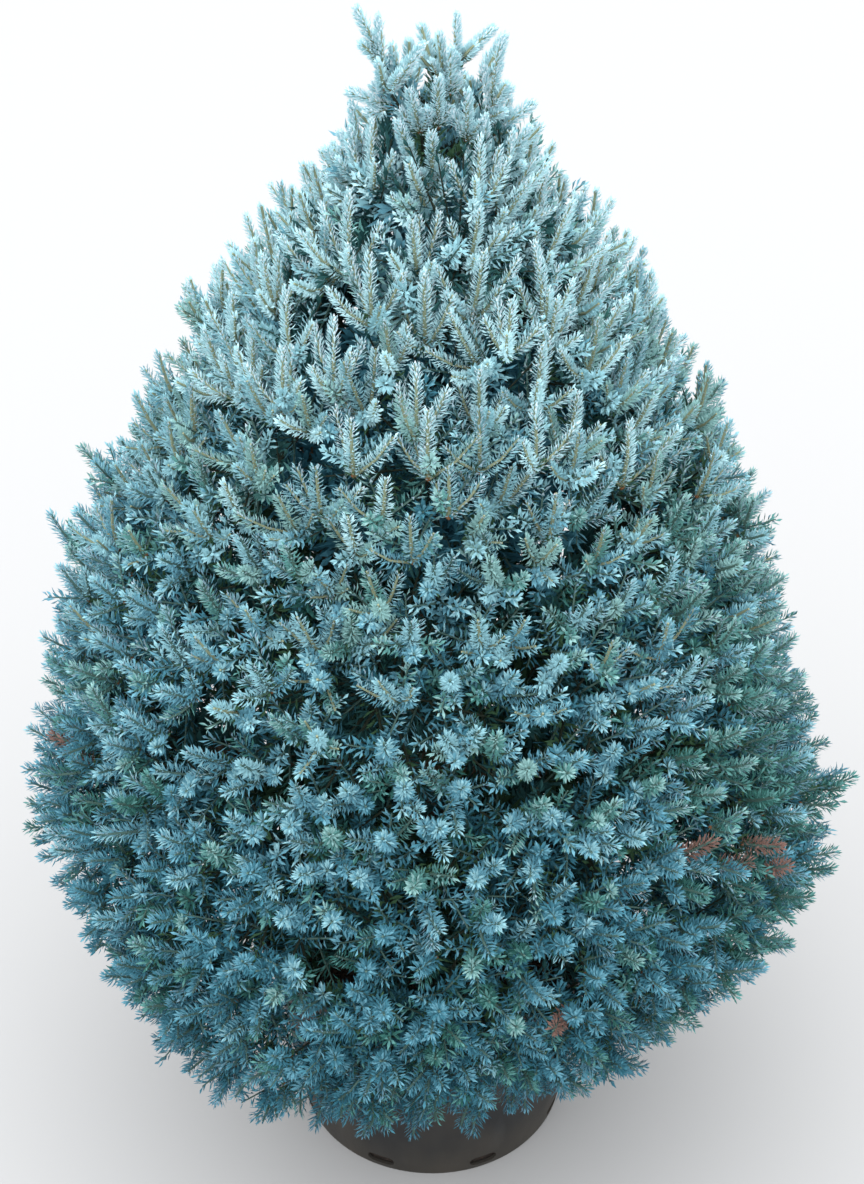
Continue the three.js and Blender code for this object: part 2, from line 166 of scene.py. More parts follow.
# Where the outline swells or falls back: azimuth and share, their spreads, and metres outwards.
BULGES = (
    (-170, 0.51, 35, 0.08, 0.022),
    (-175, 0.25, 25, 0.05, 0.016),
    (-160, 0.12, 30, 0.10, 0.004),
    (180, 0.92, 60, 0.06, -0.024),
    (180, 0.87, 50, 0.05, -0.026),
    (-138, -0.04, 34, 0.07, 0.026),
    (-150, -0.05, 25, 0.06, 0.014),
    (-95, -0.06, 30, 0.05, 0.014),
    (-65, -0.05, 16, 0.05, -0.012),
    (-18, 0.22, 26, 0.08, 0.016),
    (-20, 0.11, 30, 0.04, 0.010),
    (5, 0.42, 50, 0.16, -0.019),
    (5, 0.68, 55, 0.16, -0.015),
    (180, 0.68, 45, 0.10, -0.010),
    (-165, 0.05, 25, 0.06, -0.022),
    (-15, 0.02, 30, 0.05, -0.012),
    (0, 0.86, 50, 0.06, -0.020),
    (180, 0.77, 40, 0.04, -0.010),
    (0, 0.65, 30, 0.04, 0.014),
    (5, 0.31, 35, 0.08, -0.013),
    (0, 0.93, 999, 0.05, -0.018),
)

# Single whorls beyond the outline, or below 0 behind it in a gap: azimuth in degrees, share, and metres.
SINGLE_WHORLS = (
    (168, 0.749, 0.006),
    (170, 0.718, 0.022),
    (176, 0.554, 0.020),
    (179, 0.492, 0.018),
    (-167, 0.267, 0.002),
    (-165, 0.236, 0.000),
    (13, 0.804, 0.012),
    (3, 0.755, 0.004),
    (-20, 0.314, 0.006),
    (-10, 0.237, 0.020),
    (-108, 0.212, -0.018),
    (-72, 0.212, -0.018),
    (-112, 0.625, -0.018),
    (-105, 0.600, -0.018),
    (-113, 0.250, -0.018),
    (-115, 0.165, -0.015),
)

# How deep behind the outline the dead sprays lie, and how far their edges reach.
DEAD_DEPTH = 0.012
DEAD_MARGIN = 0.004
# Sprays of dead needles: azimuth in degrees, share of the height, and radius in metres.
DEAD_SPRAYS = (
    (-43.4, 0.327, 0.017),
    (-38.4, 0.283, 0.013),
    (-33.6, 0.261, 0.013),
    (-44.6, 0.258, 0.012),
    (-72.7, 0.181, 0.008),
    (-160.3, 0.334, 0.020),
    (-109.0, 0.382, 0.008),
)


def unit(v):
    """Vectors of length 1."""
    return v / np.maximum(np.linalg.norm(v, axis=-1, keepdims=True), 1e-9)


def smooth(x):
    """A soft step from 0 to 1."""
    x = np.clip(x, 0, 1)
    return x * x * (3 - 2 * x)


def between(x, span):
    """A soft step from 0 where the span begins to 1 where it ends."""
    begin, end = span
    return smooth((x - begin) / (end - begin))


# The crown's field


def crown_radius(share, azimuth):
    """The outline's radius at a share of the crown's height."""
    swell = 1 + SWELL * sum(np.sin(waves * azimuth + phase) for waves, phase in SWELL_WAVES)
    below = np.maximum(WIDEST_AT - share, 0) / WIDEST_AT
    above = np.clip((share - WIDEST_AT) / (1 - WIDEST_AT), 0, 1)
    low = swell * CROWN_RADIUS * np.sqrt(np.maximum(1 - SKIRT_TUCK * below**2, 0))
    taper = np.cos(above**SHOULDER * math.pi / 2)
    high = TUFT_RADIUS + (swell * CROWN_RADIUS - TUFT_RADIUS) * taper
    radius = np.where(share < WIDEST_AT, low, high)
    for turn, height, wide, tall, outwards in BULGES:
        apart = np.degrees(azimuth) - turn
        apart = (apart + 180) % 360 - 180
        radius = radius + outwards * np.exp(-((apart / wide) ** 2) - ((share - height) / tall) ** 2)
    return radius


def growth_angle(share):
    """How steeply the cells of the crown rise."""
    return GROWTH_LOW + (GROWTH_HIGH - GROWTH_LOW) * np.maximum(share, 0) ** GROWTH_BEND


def way_at(azimuth, rise):
    """Unit vectors with an azimuth and a rise."""
    out = np.cos(rise)
    return np.stack([out * np.cos(azimuth), out * np.sin(azimuth), np.sin(rise) + 0 * azimuth], -1)


def crown_point(azimuth, share, depth):
    """The point a given depth behind the outline, back along the way of growth."""
    radius = crown_radius(share, azimuth)
    height = CROWN_FOOT + share * CROWN_HEIGHT
    edge = np.stack([radius * np.cos(azimuth), radius * np.sin(azimuth), height + 0 * radius], -1)
    way = way_at(azimuth, growth_angle(share) + 0 * azimuth)
    return edge - np.asarray(depth)[..., None] * way


def shoot_rise(share):
    """How steeply the outer shoots point: down at the hem, and upright in the upper half."""
    return math.radians(np.interp(share, RISE_SHARES, RISE_DEGREES))


def cells_of(tier, first):
    """The cells of a tier, one for each mass."""
    cells = []
    half_turn = math.pi / tier["count"]
    for i in range(tier["count"]):
        stagger = ((2 * i) % tier["count"]) / tier["count"] - 0.5
        cells.append(
            dict(
                tier,
                label=f"{tier['name']}_{i + 1}",
                azimuth=math.radians(tier["turn"]) + i * 2 * half_turn,
                half_turn=half_turn,
                root=tier["root"] + ROOT_STAGGER * stagger,
                seed=first + i + 1,
            )
        )
    return cells


def all_cells():
    """Every cell of the crown, from the skirt up."""
    cells = []
    for tier in TIERS:
        cells += cells_of(tier, len(cells))
    return cells


def cell_point(cell, across, up, depth):
    """A point of a cell: across and up run from 0 to 1 between its walls."""
    azimuth = cell["azimuth"] + (np.asarray(across) * 2 - 1) * cell["half_turn"]
    share = cell["low"] + np.asarray(up) * (cell["high"] - cell["low"])
    return crown_point(azimuth, share, np.asarray(depth) + 0 * azimuth)


def heart_of(cell):
    """The middle of a mass, where its stem divides."""
    return cell_point(cell, 0.5, 0.5, cell["depth"] + HEART_SHARE * cell["thick"])


def stem_foot(cell):
    """Where a bough ends, and the way that it points there."""
    low = LOW_INSETS.get(cell["name"], CELL_INSET)
    share = cell["low"] + (low + 1 - CELL_INSET) / 2 * (cell["high"] - cell["low"])
    azimuth = cell["azimuth"]
    point = crown_point(azimuth, share, cell["depth"] + cell["thick"] + STEM_SHOWN)
    return point, way_at(azimuth, growth_angle(share))


# The trunk's line and the boughs' lines


def trunk_point(height):
    """The middle of the trunk at a height."""
    u = (np.asarray(height) - TRUNK_START) / (TRUNK_TOP - TRUNK_START)
    away = TRUNK_SWAY * np.sin(u * math.pi * SWAY_TURNS)
    return np.stack([away, -SWAY_FORWARD * away * (1 - u), height + 0 * u], -1)


def trunk_radius(height, angle):
    """The trunk's radius, with the lobes of its root flare."""
    u = (height - TRUNK_START) / (TRUNK_TOP - TRUNK_START)
    plain = TRUNK_TIP_RADIUS + (TRUNK_RADIUS - TRUNK_TIP_RADIUS) * np.maximum(1 - u, 0) ** TRUNK_TAPER
    lobes = 1 - LOBE_DEPTH + LOBE_DEPTH * np.cos(FLARE_LOBES * angle + LOBE_TURN)
    return plain + FLARE_RADIUS * lobes * np.exp(-(height - TRUNK_START) / FLARE_HEIGHT)


def bough_line(cell, end, way, steps):
    """Points along a limb, from the trunk's middle to its end."""
    start = trunk_point(cell["root"])
    reach = np.linalg.norm(end - start)
    out = unit(np.array([math.cos(cell["azimuth"]), math.sin(cell["azimuth"]), BOUGH_RISE]))
    first = start + out * reach * FIRST_HANDLE
    last = end - way * reach * LAST_HANDLE
    t = np.linspace(0, 1, steps + 1)[:, None]
    return (
        (1 - t) ** 3 * start
        + 3 * (1 - t) ** 2 * t * first
        + 3 * (1 - t) * t**2 * last
        + t**3 * end
    )


# Meshes


def piece(name, points, faces, slots, materials, smooth_shaded=False):
    """A new piece: triangles with a material slot each."""
    mesh = bpy.data.meshes.new(name)
    faces = np.asarray(faces, dtype=np.int32)
    mesh.vertices.add(len(points))
    mesh.vertices.foreach_set("co", np.asarray(points, dtype=np.float32).ravel())
    mesh.loops.add(faces.size)
    mesh.loops.foreach_set("vertex_index", faces.ravel())
    mesh.polygons.add(len(faces))
    mesh.polygons.foreach_set("loop_start", np.arange(0, faces.size, 3, dtype=np.int32))
    for material in materials:
        mesh.materials.append(material)
    mesh.polygons.foreach_set("material_index", np.asarray(slots, dtype=np.int32))
    mesh.polygons.foreach_set("use_smooth", np.full(len(faces), smooth_shaded))
    mesh.update(calc_edges=True)
    if mesh.validate():
        raise RuntimeError(f"{name} has faces that are not valid")
    made = bpy.data.objects.new(name, mesh)
    bpy.context.scene.collection.objects.link(made)
    return made


def closed_skin(rings, sides):
    """The faces of a tube of rings, closed by a point in the middle of the first and of the last ring."""
    ring = np.arange(sides)
    after = (ring + 1) % sides
    faces = []
    for k in range(rings - 1):
        low, high = k * sides, (k + 1) * sides
        faces.append(np.stack([low + ring, low + after, high + after], -1))
        faces.append(np.stack([low + ring, high + after, high + ring], -1))
    last = (rings - 1) * sides
    faces.append(np.stack([after, ring, np.full(sides, rings * sides)], -1))
    faces.append(np.stack([last + ring, last + after, np.full(sides, rings * sides + 1)], -1))
    return np.concatenate(faces)


def tubes(paths, radii, sides):
    """Closed round tubes along many paths of equally many points."""
    count, rings = paths.shape[:2]
    ways = unit(np.gradient(paths, axis=1))
    chord = unit(paths[:, -1] - paths[:, 0])
    across = np.eye(3)[np.argmin(np.abs(chord), axis=1)][:, None, :]
    normal = unit(np.cross(ways, across))
    binormal = np.cross(ways, normal)
    angle = np.arange(sides) * 2 * math.pi / sides
    across_part = normal[:, :, None, :] * np.cos(angle)[:, None]
    spread = across_part + binormal[:, :, None, :] * np.sin(angle)[:, None]
    body = paths[:, :, None, :] + radii[..., None, None] * spread
    points = np.concatenate([body.reshape(count, -1, 3), paths[:, :1], paths[:, -1:]], axis=1)
    faces = closed_skin(rings, sides)[None] + (np.arange(count) * points.shape[1])[:, None, None]
    return points.reshape(-1, 3), faces.reshape(-1, 3)


class Parts:
    """Meshes that are joined into one piece."""

    def __init__(self):
        self.points, self.faces, self.slots, self.total = [], [], [], 0

    def add(self, points, faces, slots):
        """Adds points with faces and their material slots."""
        self.points.append(points)
        self.faces.append(faces + self.total)
        self.slots.append(np.broadcast_to(slots, len(faces)))
        self.total += len(points)

    def build(self, name, materials, smooth_shaded=False):
        """Makes the piece."""
        return piece(
            name,
            np.concatenate(self.points),
            np.concatenate(self.faces),
            np.concatenate(self.slots),
            materials,
            smooth_shaded,
        )


def lattice_noise(x, y, rng, wrap):
    """Smooth noise from -1 to 1 on a plane. x repeats after wrap."""
    rows = int(np.max(y)) + 3
    grid = rng.uniform(-1, 1, (wrap, rows))
    column, row = np.floor(x).astype(int), np.floor(y).astype(int)
    s, t = smooth(x - column), smooth(y - row)
    a, b = column % wrap, (column + 1) % wrap
    low = grid[a, row] * (1 - s) + grid[b, row] * s
    high = grid[a, row + 1] * (1 - s) + grid[b, row + 1] * s
    return low * (1 - t) + high * t


# Materials


def new_material(name):
    """A material with its nodes, links and shader."""
    material = bpy.data.materials.new(name)
    material.use_nodes = True
    return material, material.node_tree.nodes, material.node_tree.links


def plain_finish(name, colour, roughness, gloss):
    """One even base colour, dealt out by spray."""
    material, nodes, _ = new_material(name)
    shader = nodes["Principled BSDF"]
    shader.inputs["Base Color"].default_value = (*colour, 1)
    shader.inputs["Roughness"].default_value = roughness
    shader.inputs["Specular IOR Level"].default_value = gloss
    return material


def ramp(nodes, stops):
    """A colour ramp with stops of (place, colour)."""
    node = nodes.new("ShaderNodeValToRGB")
    while len(node.color_ramp.elements) < len(stops):
        node.color_ramp.elements.new(0.5)
    for element, (place, colour) in zip(node.color_ramp.elements, stops):
        element.position = place
        element.color = (*colour, 1)
    return node


def noise_node(nodes, links, place, scale, detail):
    """A noise texture, with its scale in cells per metre."""
    node = nodes.new("ShaderNodeTexNoise")
    node.inputs["Scale"].default_value = scale
    node.inputs["Detail"].default_value = detail
    links.new(place, node.inputs["Vector"])
    return node


def math_node(nodes, links, operation, values, clamp=False):
    """A math node's result. Its values are numbers, or sockets to link."""
    node = nodes.new("ShaderNodeMath")
    node.operation = operation
    node.use_clamp = clamp
    for socket, value in zip(node.inputs, values):
        if isinstance(value, bpy.types.NodeSocket):
            links.new(value, socket)
        else:
            socket.default_value = value
    return node.outputs[0]


def soiling_group():
    """A node group that soils a colour, most near a height and in patches."""
    name = "soiling"
    if name in bpy.data.node_groups:
        return bpy.data.node_groups[name]
    group = bpy.data.node_groups.new(name, "ShaderNodeTree")
    for socket, kind, value in (
        ("Colour", "NodeSocketColor", (0.5, 0.5, 0.5, 1)),
        ("Soil colour", "NodeSocketColor", (0.2, 0.15, 0.1, 1)),
        ("Height", "NodeSocketFloat", 0.1),
        ("Amount", "NodeSocketFloat", 0.5),
        ("Patch scale", "NodeSocketFloat", 20.0),
    ):
        made = group.interface.new_socket(name=socket, in_out="INPUT", socket_type=kind)
        made.default_value = value
    group.interface.new_socket(name="Colour", in_out="OUTPUT", socket_type="NodeSocketColor")
    group.interface.new_socket(name="Mask", in_out="OUTPUT", socket_type="NodeSocketFloat")
    nodes, links = group.nodes, group.links
    entry, leave = nodes.new("NodeGroupInput"), nodes.new("NodeGroupOutput")
    place = nodes.new("ShaderNodeTexCoord").outputs["Object"]
    apart = nodes.new("ShaderNodeSeparateXYZ")
    links.new(place, apart.inputs[0])
    patches = noise_node(nodes, links, place, scale=20, detail=6)
    links.new(entry.outputs["Patch scale"], patches.inputs["Scale"])
    fall = math_node(nodes, links, "DIVIDE", (apart.outputs["Z"], entry.outputs["Height"]))
    near = math_node(nodes, links, "SUBTRACT", (1, fall), clamp=True)
    contrast, level = 2.2, -0.9
    blotch = math_node(nodes, links, "MULTIPLY_ADD", (patches.outputs["Fac"], contrast, level), clamp=True)
    most_soil = 0.85
    both = math_node(nodes, links, "MULTIPLY_ADD", (near, most_soil, blotch))
    mask = math_node(nodes, links, "MULTIPLY", (both, entry.outputs["Amount"]), clamp=True)
    mix = nodes.new("ShaderNodeMix")
    mix.data_type = "RGBA"
    links.new(mask, mix.inputs["Factor"])
    links.new(entry.outputs["Colour"], mix.inputs["A"])
    links.new(entry.outputs["Soil colour"], mix.inputs["B"])
    links.new(mix.outputs["Result"], leave.inputs["Colour"])
    links.new(mask, leave.inputs["Mask"])
    return group


def place_soiling(nodes, links, colour, soil, height, amount, scale):
    """The soiling group, set for one material."""
    node = nodes.new("ShaderNodeGroup")
    node.node_tree = soiling_group()
    links.new(colour, node.inputs["Colour"])
    node.inputs["Soil colour"].default_value = (*soil, 1)
    node.inputs["Height"].default_value = height
    node.inputs["Amount"].default_value = amount
    node.inputs["Patch scale"].default_value = scale
    return node


def bump_from(nodes, links, height, strength, distance, shader):
    """A bump from a height, on a shader's normal."""
    bump = nodes.new("ShaderNodeBump")
    bump.inputs["Strength"].default_value = strength
    bump.inputs["Distance"].default_value = distance
    links.new(height, bump.inputs["Height"])
    links.new(bump.outputs["Normal"], shader.inputs["Normal"])


def bark_finish(settings):
    """Grey-brown bark in small scales, greener towards the foot and in patches."""
    material, nodes, links = new_material("spruce_bark")
    shader = nodes["Principled BSDF"]
    place = nodes.new("ShaderNodeTexCoord").outputs["Object"]
    scales = nodes.new("ShaderNodeTexVoronoi")
    scales.feature = "DISTANCE_TO_EDGE"
    scales.inputs["Scale"].default_value = 130
    links.new(place, scales.inputs["Vector"])
    grain = noise_node(nodes, links, place, scale=260, detail=8)
    tone = ramp(
        nodes,
        [(0.25, settings.crack_colour), (0.5, settings.bark_colour), (0.75, settings.scale_colour)],
    )
    links.new(grain.outputs["Fac"], tone.inputs["Fac"])
    algae = (0.10, 0.12, 0.07)
    soiled = place_soiling(
        nodes, links, tone.outputs["Color"], soil=algae, height=0.5, amount=0.55, scale=30
    )
    links.new(soiled.outputs["Colour"], shader.inputs["Base Color"])
    shader.inputs["Roughness"].default_value = 0.88
    scale_relief = 0.6
    heights = (scales.outputs["Distance"], scale_relief, grain.outputs["Fac"])
    relief = math_node(nodes, links, "MULTIPLY_ADD", heights)
    bump_from(nodes, links, relief, strength=0.6, distance=0.002, shader=shader)
    return material


def compost_finish(name, settings, scale):
    """Dark, crumbly bark compost, or the chips that lie on it."""
    material, nodes, links = new_material(name)
    shader = nodes["Principled BSDF"]
    place = nodes.new("ShaderNodeTexCoord").outputs["Object"]
    crumbs = noise_node(nodes, links, place, scale=scale, detail=7)
    crumbs.inputs["Roughness"].default_value = 0.7
    damp, dry = 0.35, 2.6
    dark = tuple(damp * c for c in settings.compost_colour)
    light = tuple(min(dry * c, 1) for c in settings.compost_colour)
    tone = ramp(nodes, [(0.3, dark), (0.52, settings.compost_colour), (0.75, light)])
    links.new(crumbs.outputs["Fac"], tone.inputs["Fac"])
    links.new(tone.outputs["Color"], shader.inputs["Base Color"])
    shader.inputs["Roughness"].default_value = 0.93
    bump_from(nodes, links, crumbs.outputs["Fac"], strength=0.8, distance=0.003, shader=shader)
    return material


def pot_finish(settings):
    """Charcoal plastic with a fine moulded grain, scuffs, and dust at the foot."""
    material, nodes, links = new_material("pot_plastic")
    shader = nodes["Principled BSDF"]
    shader.inputs["Specular IOR Level"].default_value = 0.3
    place = nodes.new("ShaderNodeTexCoord").outputs["Object"]
    stretch = nodes.new("ShaderNodeMapping")
    stretch.inputs["Scale"].default_value = (1, 1, 0.12)
    links.new(place, stretch.inputs["Vector"])
    scuffs = noise_node(nodes, links, stretch.outputs[0], scale=45, detail=9)
    fading = 2.4
    worn = tuple(min(fading * c, 1) for c in settings.pot_colour)
    tone = ramp(nodes, [(0.35, settings.pot_colour), (0.62, settings.pot_colour), (0.85, worn)])
    links.new(scuffs.outputs["Fac"], tone.inputs["Fac"])
    soiled = place_soiling(
        nodes, links, tone.outputs["Color"], soil=settings.dust_colour, height=0.07, amount=0.35, scale=14
    )
    links.new(soiled.outputs["Colour"], shader.inputs["Base Color"])
    rough = nodes.new("ShaderNodeMapRange")
    rough.inputs["To Min"].default_value = 0.42
    rough.inputs["To Max"].default_value = 0.72
    links.new(scuffs.outputs["Fac"], rough.inputs["Value"])
    links.new(rough.outputs[0], shader.inputs["Roughness"])
    grain = noise_node(nodes, links, place, scale=900, detail=3)
    bump_from(nodes, links, grain.outputs["Fac"], strength=0.25, distance=0.0006, shader=shader)
    return material


# Shoots and needles

# The tones from the deepest to the palest, and the greener slot that may stand in for each.
TONES = ("teal", "steel", "slate", "silver", "frost")
SAGES = ("sage_low", "sage_low", "sage_high", "sage_frost", "body_frost")
NEEDLE_SLOTS = (
    "deep",
    *(f"body_{tone}" for tone in reversed(TONES)),
    *("sage_frost", "sage_high", "sage_low"),
    *(f"tip_{tone}" for tone in reversed(TONES)),
    *("olive", "shade", "dead"),
)
SLOT = {name: i for i, name in enumerate(NEEDLE_SLOTS)}
TWIG_SLOTS = ("young_wood", "old_wood", "bud_scale", "green_wood")
# The slots of needles in painted shade deep in the crown, and of dead needles.
SHADE = ("shade", "shade")
DEAD = ("dead", "dead")
# The rank of a tone: at the crown's foot, how much it rises to the top, the frost up there, and its spread.
# Paler at the top and deeper at the skirt is partly the young growth's frost and partly painted light from
# above and painted shade below.
LOW_RANK = 0.15
RANK_RISE = 4.2
FROST_AND_PAINTED_LIGHT_RANK = 0.4
FROST_AND_LIGHT_SHARES = (0.6, 0.8)
RANK_SPREAD = 0.36
# The share of greener sprays at the crown's foot and at its top.
SAGE_SHARES = (0.1, 0.34)
# The right flank has more of them: its azimuth, its half width, how many more, and where they end.
GREEN_FLANK = math.radians(-5)
FLANK_WIDTH = math.radians(50)
FLANK_SHARE = 0.5
FLANK_TOP = (0.8, 0.6)
# How long and how dense the needles are, at three shares of the crown's height.
NEEDLE_SHARES = (0.25, 0.6, 0.85)
NEEDLE_SCALES = (1.2, 1.0, 0.9)
NEEDLE_DENSITIES = (0.86, 1.0, 1.1)

# How the needles stand on a shoot. Its parts run from 0 at the foot to 1 at the tip. Turns are in radians.
FIRST_NEEDLE = 0.02
NEEDLE_JITTER = 0.3
SHOOT_TURN = 1.7
OUTWARD_LIFT = 0.7
LEAN_POWER = 3.2
LEAN_JITTER = 0.1
UPWARD = 0.14
SHORT_TIP, TIP_PART = 0.3, (0.8, 1)
SHORT_FOOT, FOOT_PART = 0.15, (0.12, 0)
LENGTH_RANGE = (0.92, 1.1)
WIDTH_RANGE = (0.85, 1.15)
# Where a needle is widest, how far its ridge stands out there in widths, and its root's place in twig radii.
WIDEST_PART = 0.6
RIDGES = (-0.3, 0.34)
ROOT_RADIUS = 0.7
# Old needles at a shoot's foot, and paler ones towards its tip: where they stand, and the chance of one. The
# paler tone towards the tip is partly the young needles' bloom and partly painted light.
OLD_PART, OLD_CHANCE = 0.2, 0.35
PALE_PART, PALE_CHANCE = (0.35, 0.95), 0.75
# Most needles that face the crown's heart have fallen: from which cosine, and the chance that one is left.
FALLEN_COSINE = -0.45
KEPT_CHANCE = 0.12
KEPT_DEEP_CHANCE = 0.6
# The fewest needles of a shoot, before some fall.
FEWEST_NEEDLES = 5

# The wood: this year's, older, deep in the crown, and this year's low in the crown.
YOUNG, OLD, DEEP, GREEN = range(4)
# The steps, the sides and the material of the twigs of each.
WOOD_FORMS = {
    YOUNG: (2, 4, "young_wood"),
    OLD: (2, 4, "old_wood"),
    DEEP: (1, 3, "green_wood"),
    GREEN: (2, 4, "green_wood"),
}
# The radius of a twig's tip in that of its foot.
TWIG_TIP = 0.6
# A ring of bud scales: where its three rounds stand along the shoot, and their radii in those of the shoot.
SCALE_PLACES = np.array([-0.0012, 0.0008, 0.0034])
SCALE_RADII = np.array([0.9, 1.5, 0.8])

# A whorl: where the crown counts as upper, and how far its leading shoot strays from its rise and azimuth.
UPPER_CROWN = (0.6, 0.85)
RISE_JITTER = 0.19
TURN_JITTER = 0.26
# How much of the way of the cells its foot takes on, and how much lower than that.
FOOT_BEND = 0.5
FOOT_LOWER = 0.25
# Its length at the crown's foot, its gain to the top and in the upper crown, and its range.
SHOOT_SIZE, SHOOT_GAIN, UPPER_GAIN = 0.88, 0.4, 0.3
SHOOT_RANGE = (0.8, 1.25)
# How deep its tip lies in needle lengths, how its needles differ, and from where its wood is tan, not green.
TIP_DEPTH = 0.7
UPPER_LEAN = 0.2
LEADING_DENSITY = 1.15
YOUNG_WOOD_PART = (0.38, 0.8)
# Its side shoots: their rolls round the leading one, their spread from it in degrees, and their range.
SIDE_ROLLS = ((-1.7, 0.1, 1.7), (-1.3, 0.9), (-0.9, 1.3), (-2.0, 1.1), (-1.2, 1.6))
UPPER_ROLLS = (-2.2, -0.8, 0.8, 2.2)
ROLL_JITTER = 0.5
SIDE_SPREAD = (34, 66)
UPPER_SPREAD = 0.2
# How their tips bend: the shares of their own way, of the leading shoot's and of straight up.
SIDE_BEND = (0.65, 0.45, 0.15)
SIDE_RANGE = (0.6, 1.0)
SIDE_DENSITY = 0.94
# Side shoots are dealt tones a little deeper, as painted shade.
SIDE_PAINTED_SHADE = 0.15
SIDE_WOOD = 0.85
# The wood behind it: the needles on each metre of it, and the chance that they are olive, lower at the top.
OLD_DENSITY = 400
OLIVE_CHANCE, OLIVE_FADE = 0.6, 0.6
# Old needles are dealt tones some ranks deeper: partly their age and partly painted shade deep in the crown.
OLD_AGE_AND_PAINTED_SHADE = 1.4
OLD_WOOD = 0.8
# How it curves: the shares of its own way and of the whorl's, at its foot and at its end.
OLD_FOOT, OLD_END = (1.3, -0.3), (1, 0.4)
# The twigs in its shade: how many, where they stand on the old wood, their turns, ways, sizes and needles.
SHADED_TWIGS = 3
SHADED_PLACES = (0.6, 0.95)
SHADED_ROLL, SHADED_JITTER = 6.3, 0.4
SHADED_ALONG, SHADED_ASIDE, SHADED_BEND = 0.7, 0.75, 0.5
SHADED_SIZE, SHADED_GAIN = 0.85, 0.3
SHADED_RANGE = (0.8, 1.15)
SHADED_DENSITY = 0.35
# Their needles are dealt tones some ranks deeper, as painted shade.
SHADED_PAINTED_SHADE = 0.75
SHADED_WOOD = 0.6
SHADED_NEEDLE, SHADED_WIDTH = 1.15, 1.45

# A hub: how far its row is shifted, how much of the cell the rows fill, and how deep it lies.
HUB_STAGGER = 0.22
HUB_SPREAD = 0.76
HUB_DEPTH = 0.010
# The branches to the hubs: their radii in that of the bough, how dense their needles are, and how they bend.
HUB_BRANCH, HUB_DENSITY = 0.24, 0.35
BRANCH_BEND = 0.25
# The branches towards the walls of a cell: the same, how far before its heart they end, and at which places.
WALL_BRANCH, WALL_DENSITY = 0.17, 0.2
WALL_DEPTH = -0.045
WALL_PLACES = (
    *((wall, up) for wall in (0.03, 0.97) for up in (0.25, 0.75)),
    *((aside, wall) for wall in (0.02, 0.98) for aside in (0.12, 0.37, 0.63, 0.88)),
)
# The short twigs round a hub: their ways, lengths, needles, sizes and wood.
FILL_OUTWARDS, FILL_FORWARDS, FILL_JITTER = 0.3, 0.6, 0.5
FILL_REACH = (0.05, 0.075)
FILL_NEEDLES = 30
FILL_NEEDLE, FILL_WIDTH = 0.8, 0.72
FILL_WOOD = 0.0013
# Their needles are dealt tones much deeper, as painted shade.
FILL_PAINTED_SHADE = 1.6
# The rows of whorls: how close they stand, low down and further up, where the first one is, how they are
# staggered, how far a whorl strays, and the chance of one that stands out.
ROW_CLOSENESS = 0.9
ROW_CLOSER, CLOSER_PART = 0.14, (0.4, 0.6)
FIRST_ROW = 0.42
ROW_STAGGER = 0.25
PLACE_JITTER = 0.13
HEIGHT_JITTER = 0.15
DEPTH_RANGE = (-0.004, 0.012)
PROUD_CHANCE, PROUD_BY = 0.1, 0.01
# The steps and the sides of the stem of a mass.
STEM_STEPS = 8
STEM_SIDES = 8

# The twigs along the boughs and the stem: the steps of their lines, the stem's part in metres, where on a
# line they begin, their number against the setting, and their ways, lengths and radius.
INNER_STEPS = 40
INNER_STEM = (0.55, 1.16)
INNER_FROM = 0.22
BOUGH_TWIGS = 1.6
STEM_TWIGS = 8
INNER_FORWARDS, INNER_BEND = (0.2, 0.6), 0.3
INNER_REACH = (0.06, 0.10)
INNER_WOOD = 0.0017
# The shares of the height above which they are slate-blue and teal, and the chance of shaded ones below: all
# painted shade, near black low in the crown and paler higher up where more light gets in.
INNER_SLATE = 0.68
INNER_TEAL = 0.5
SHADE_CHANCE = 0.6

# The leader's stem above the fork: where it ends, and its radius at both ends.
CREST = np.array([0.004, 0.0, 1.236])
CREST_RADII = (0.0052, 0.003)
# The leading shoots: how dense and how long their needles are, the share of the height that sets their tones,
# how their needles lean, their curve, the bare part at the tip, and how far forward their feet stand.
LEADER_DENSITY = 2.5
LEADER_NEEDLE = 0.82
LEADER_RANGE = (0.95, 1.12)
LEADER_SHARE, LEADER_LEAN = 0.92, 0.82
LEADER_CURVE = 0.12
LEADER_BUD = 0.003
FOOT_FORWARD = 0.8
# Their copies at the back: how far back and how much lower they stand.
BACK_SHIFT, BACK_DROP = 0.05, 0.045
# Their twigs from the stem: how much lower these start, their needles, the chance of olive ones, their curve.
TWIG_DROP = 0.05
LEADER_TWIG_DENSITY = 0.3
LEADER_TWIG_NEEDLE, LEADER_TWIG_WIDTH = 0.012, 1.3
LEADER_OLIVE_CHANCE = 0.35
LEADER_TWIG_CURVE = 0.3
# Their side shoots: how many, the way from which they turn, their ways, lengths and needles.
LEADER_SIDES = 2
LEADER_SIDE_FROM = np.array([0.0, -1.0, 0.2])
LEADER_ALONG, LEADER_ASIDE = 0.75, 0.65
LEADER_SIDE_RANGE = (0.35, 0.6)
LEADER_SIDE_SHARE, LEADER_SIDE_LEAN, LEADER_SIDE_WOOD = 0.85, 0.8, 0.9


def paler_slots():
    """The next paler slot of each tone, for the ends of the shoots: partly the young needles' bloom and
    partly painted light.
    """
    paler = np.arange(len(NEEDLE_SLOTS))
    bodies = [f"body_{tone}" for tone in TONES[:-1]]
    for family in (bodies, SAGES[1:-1]):
        for plain, pale in zip(family, family[1:]):
            paler[SLOT[plain]] = SLOT[pale]
    return paler


PALER = paler_slots()


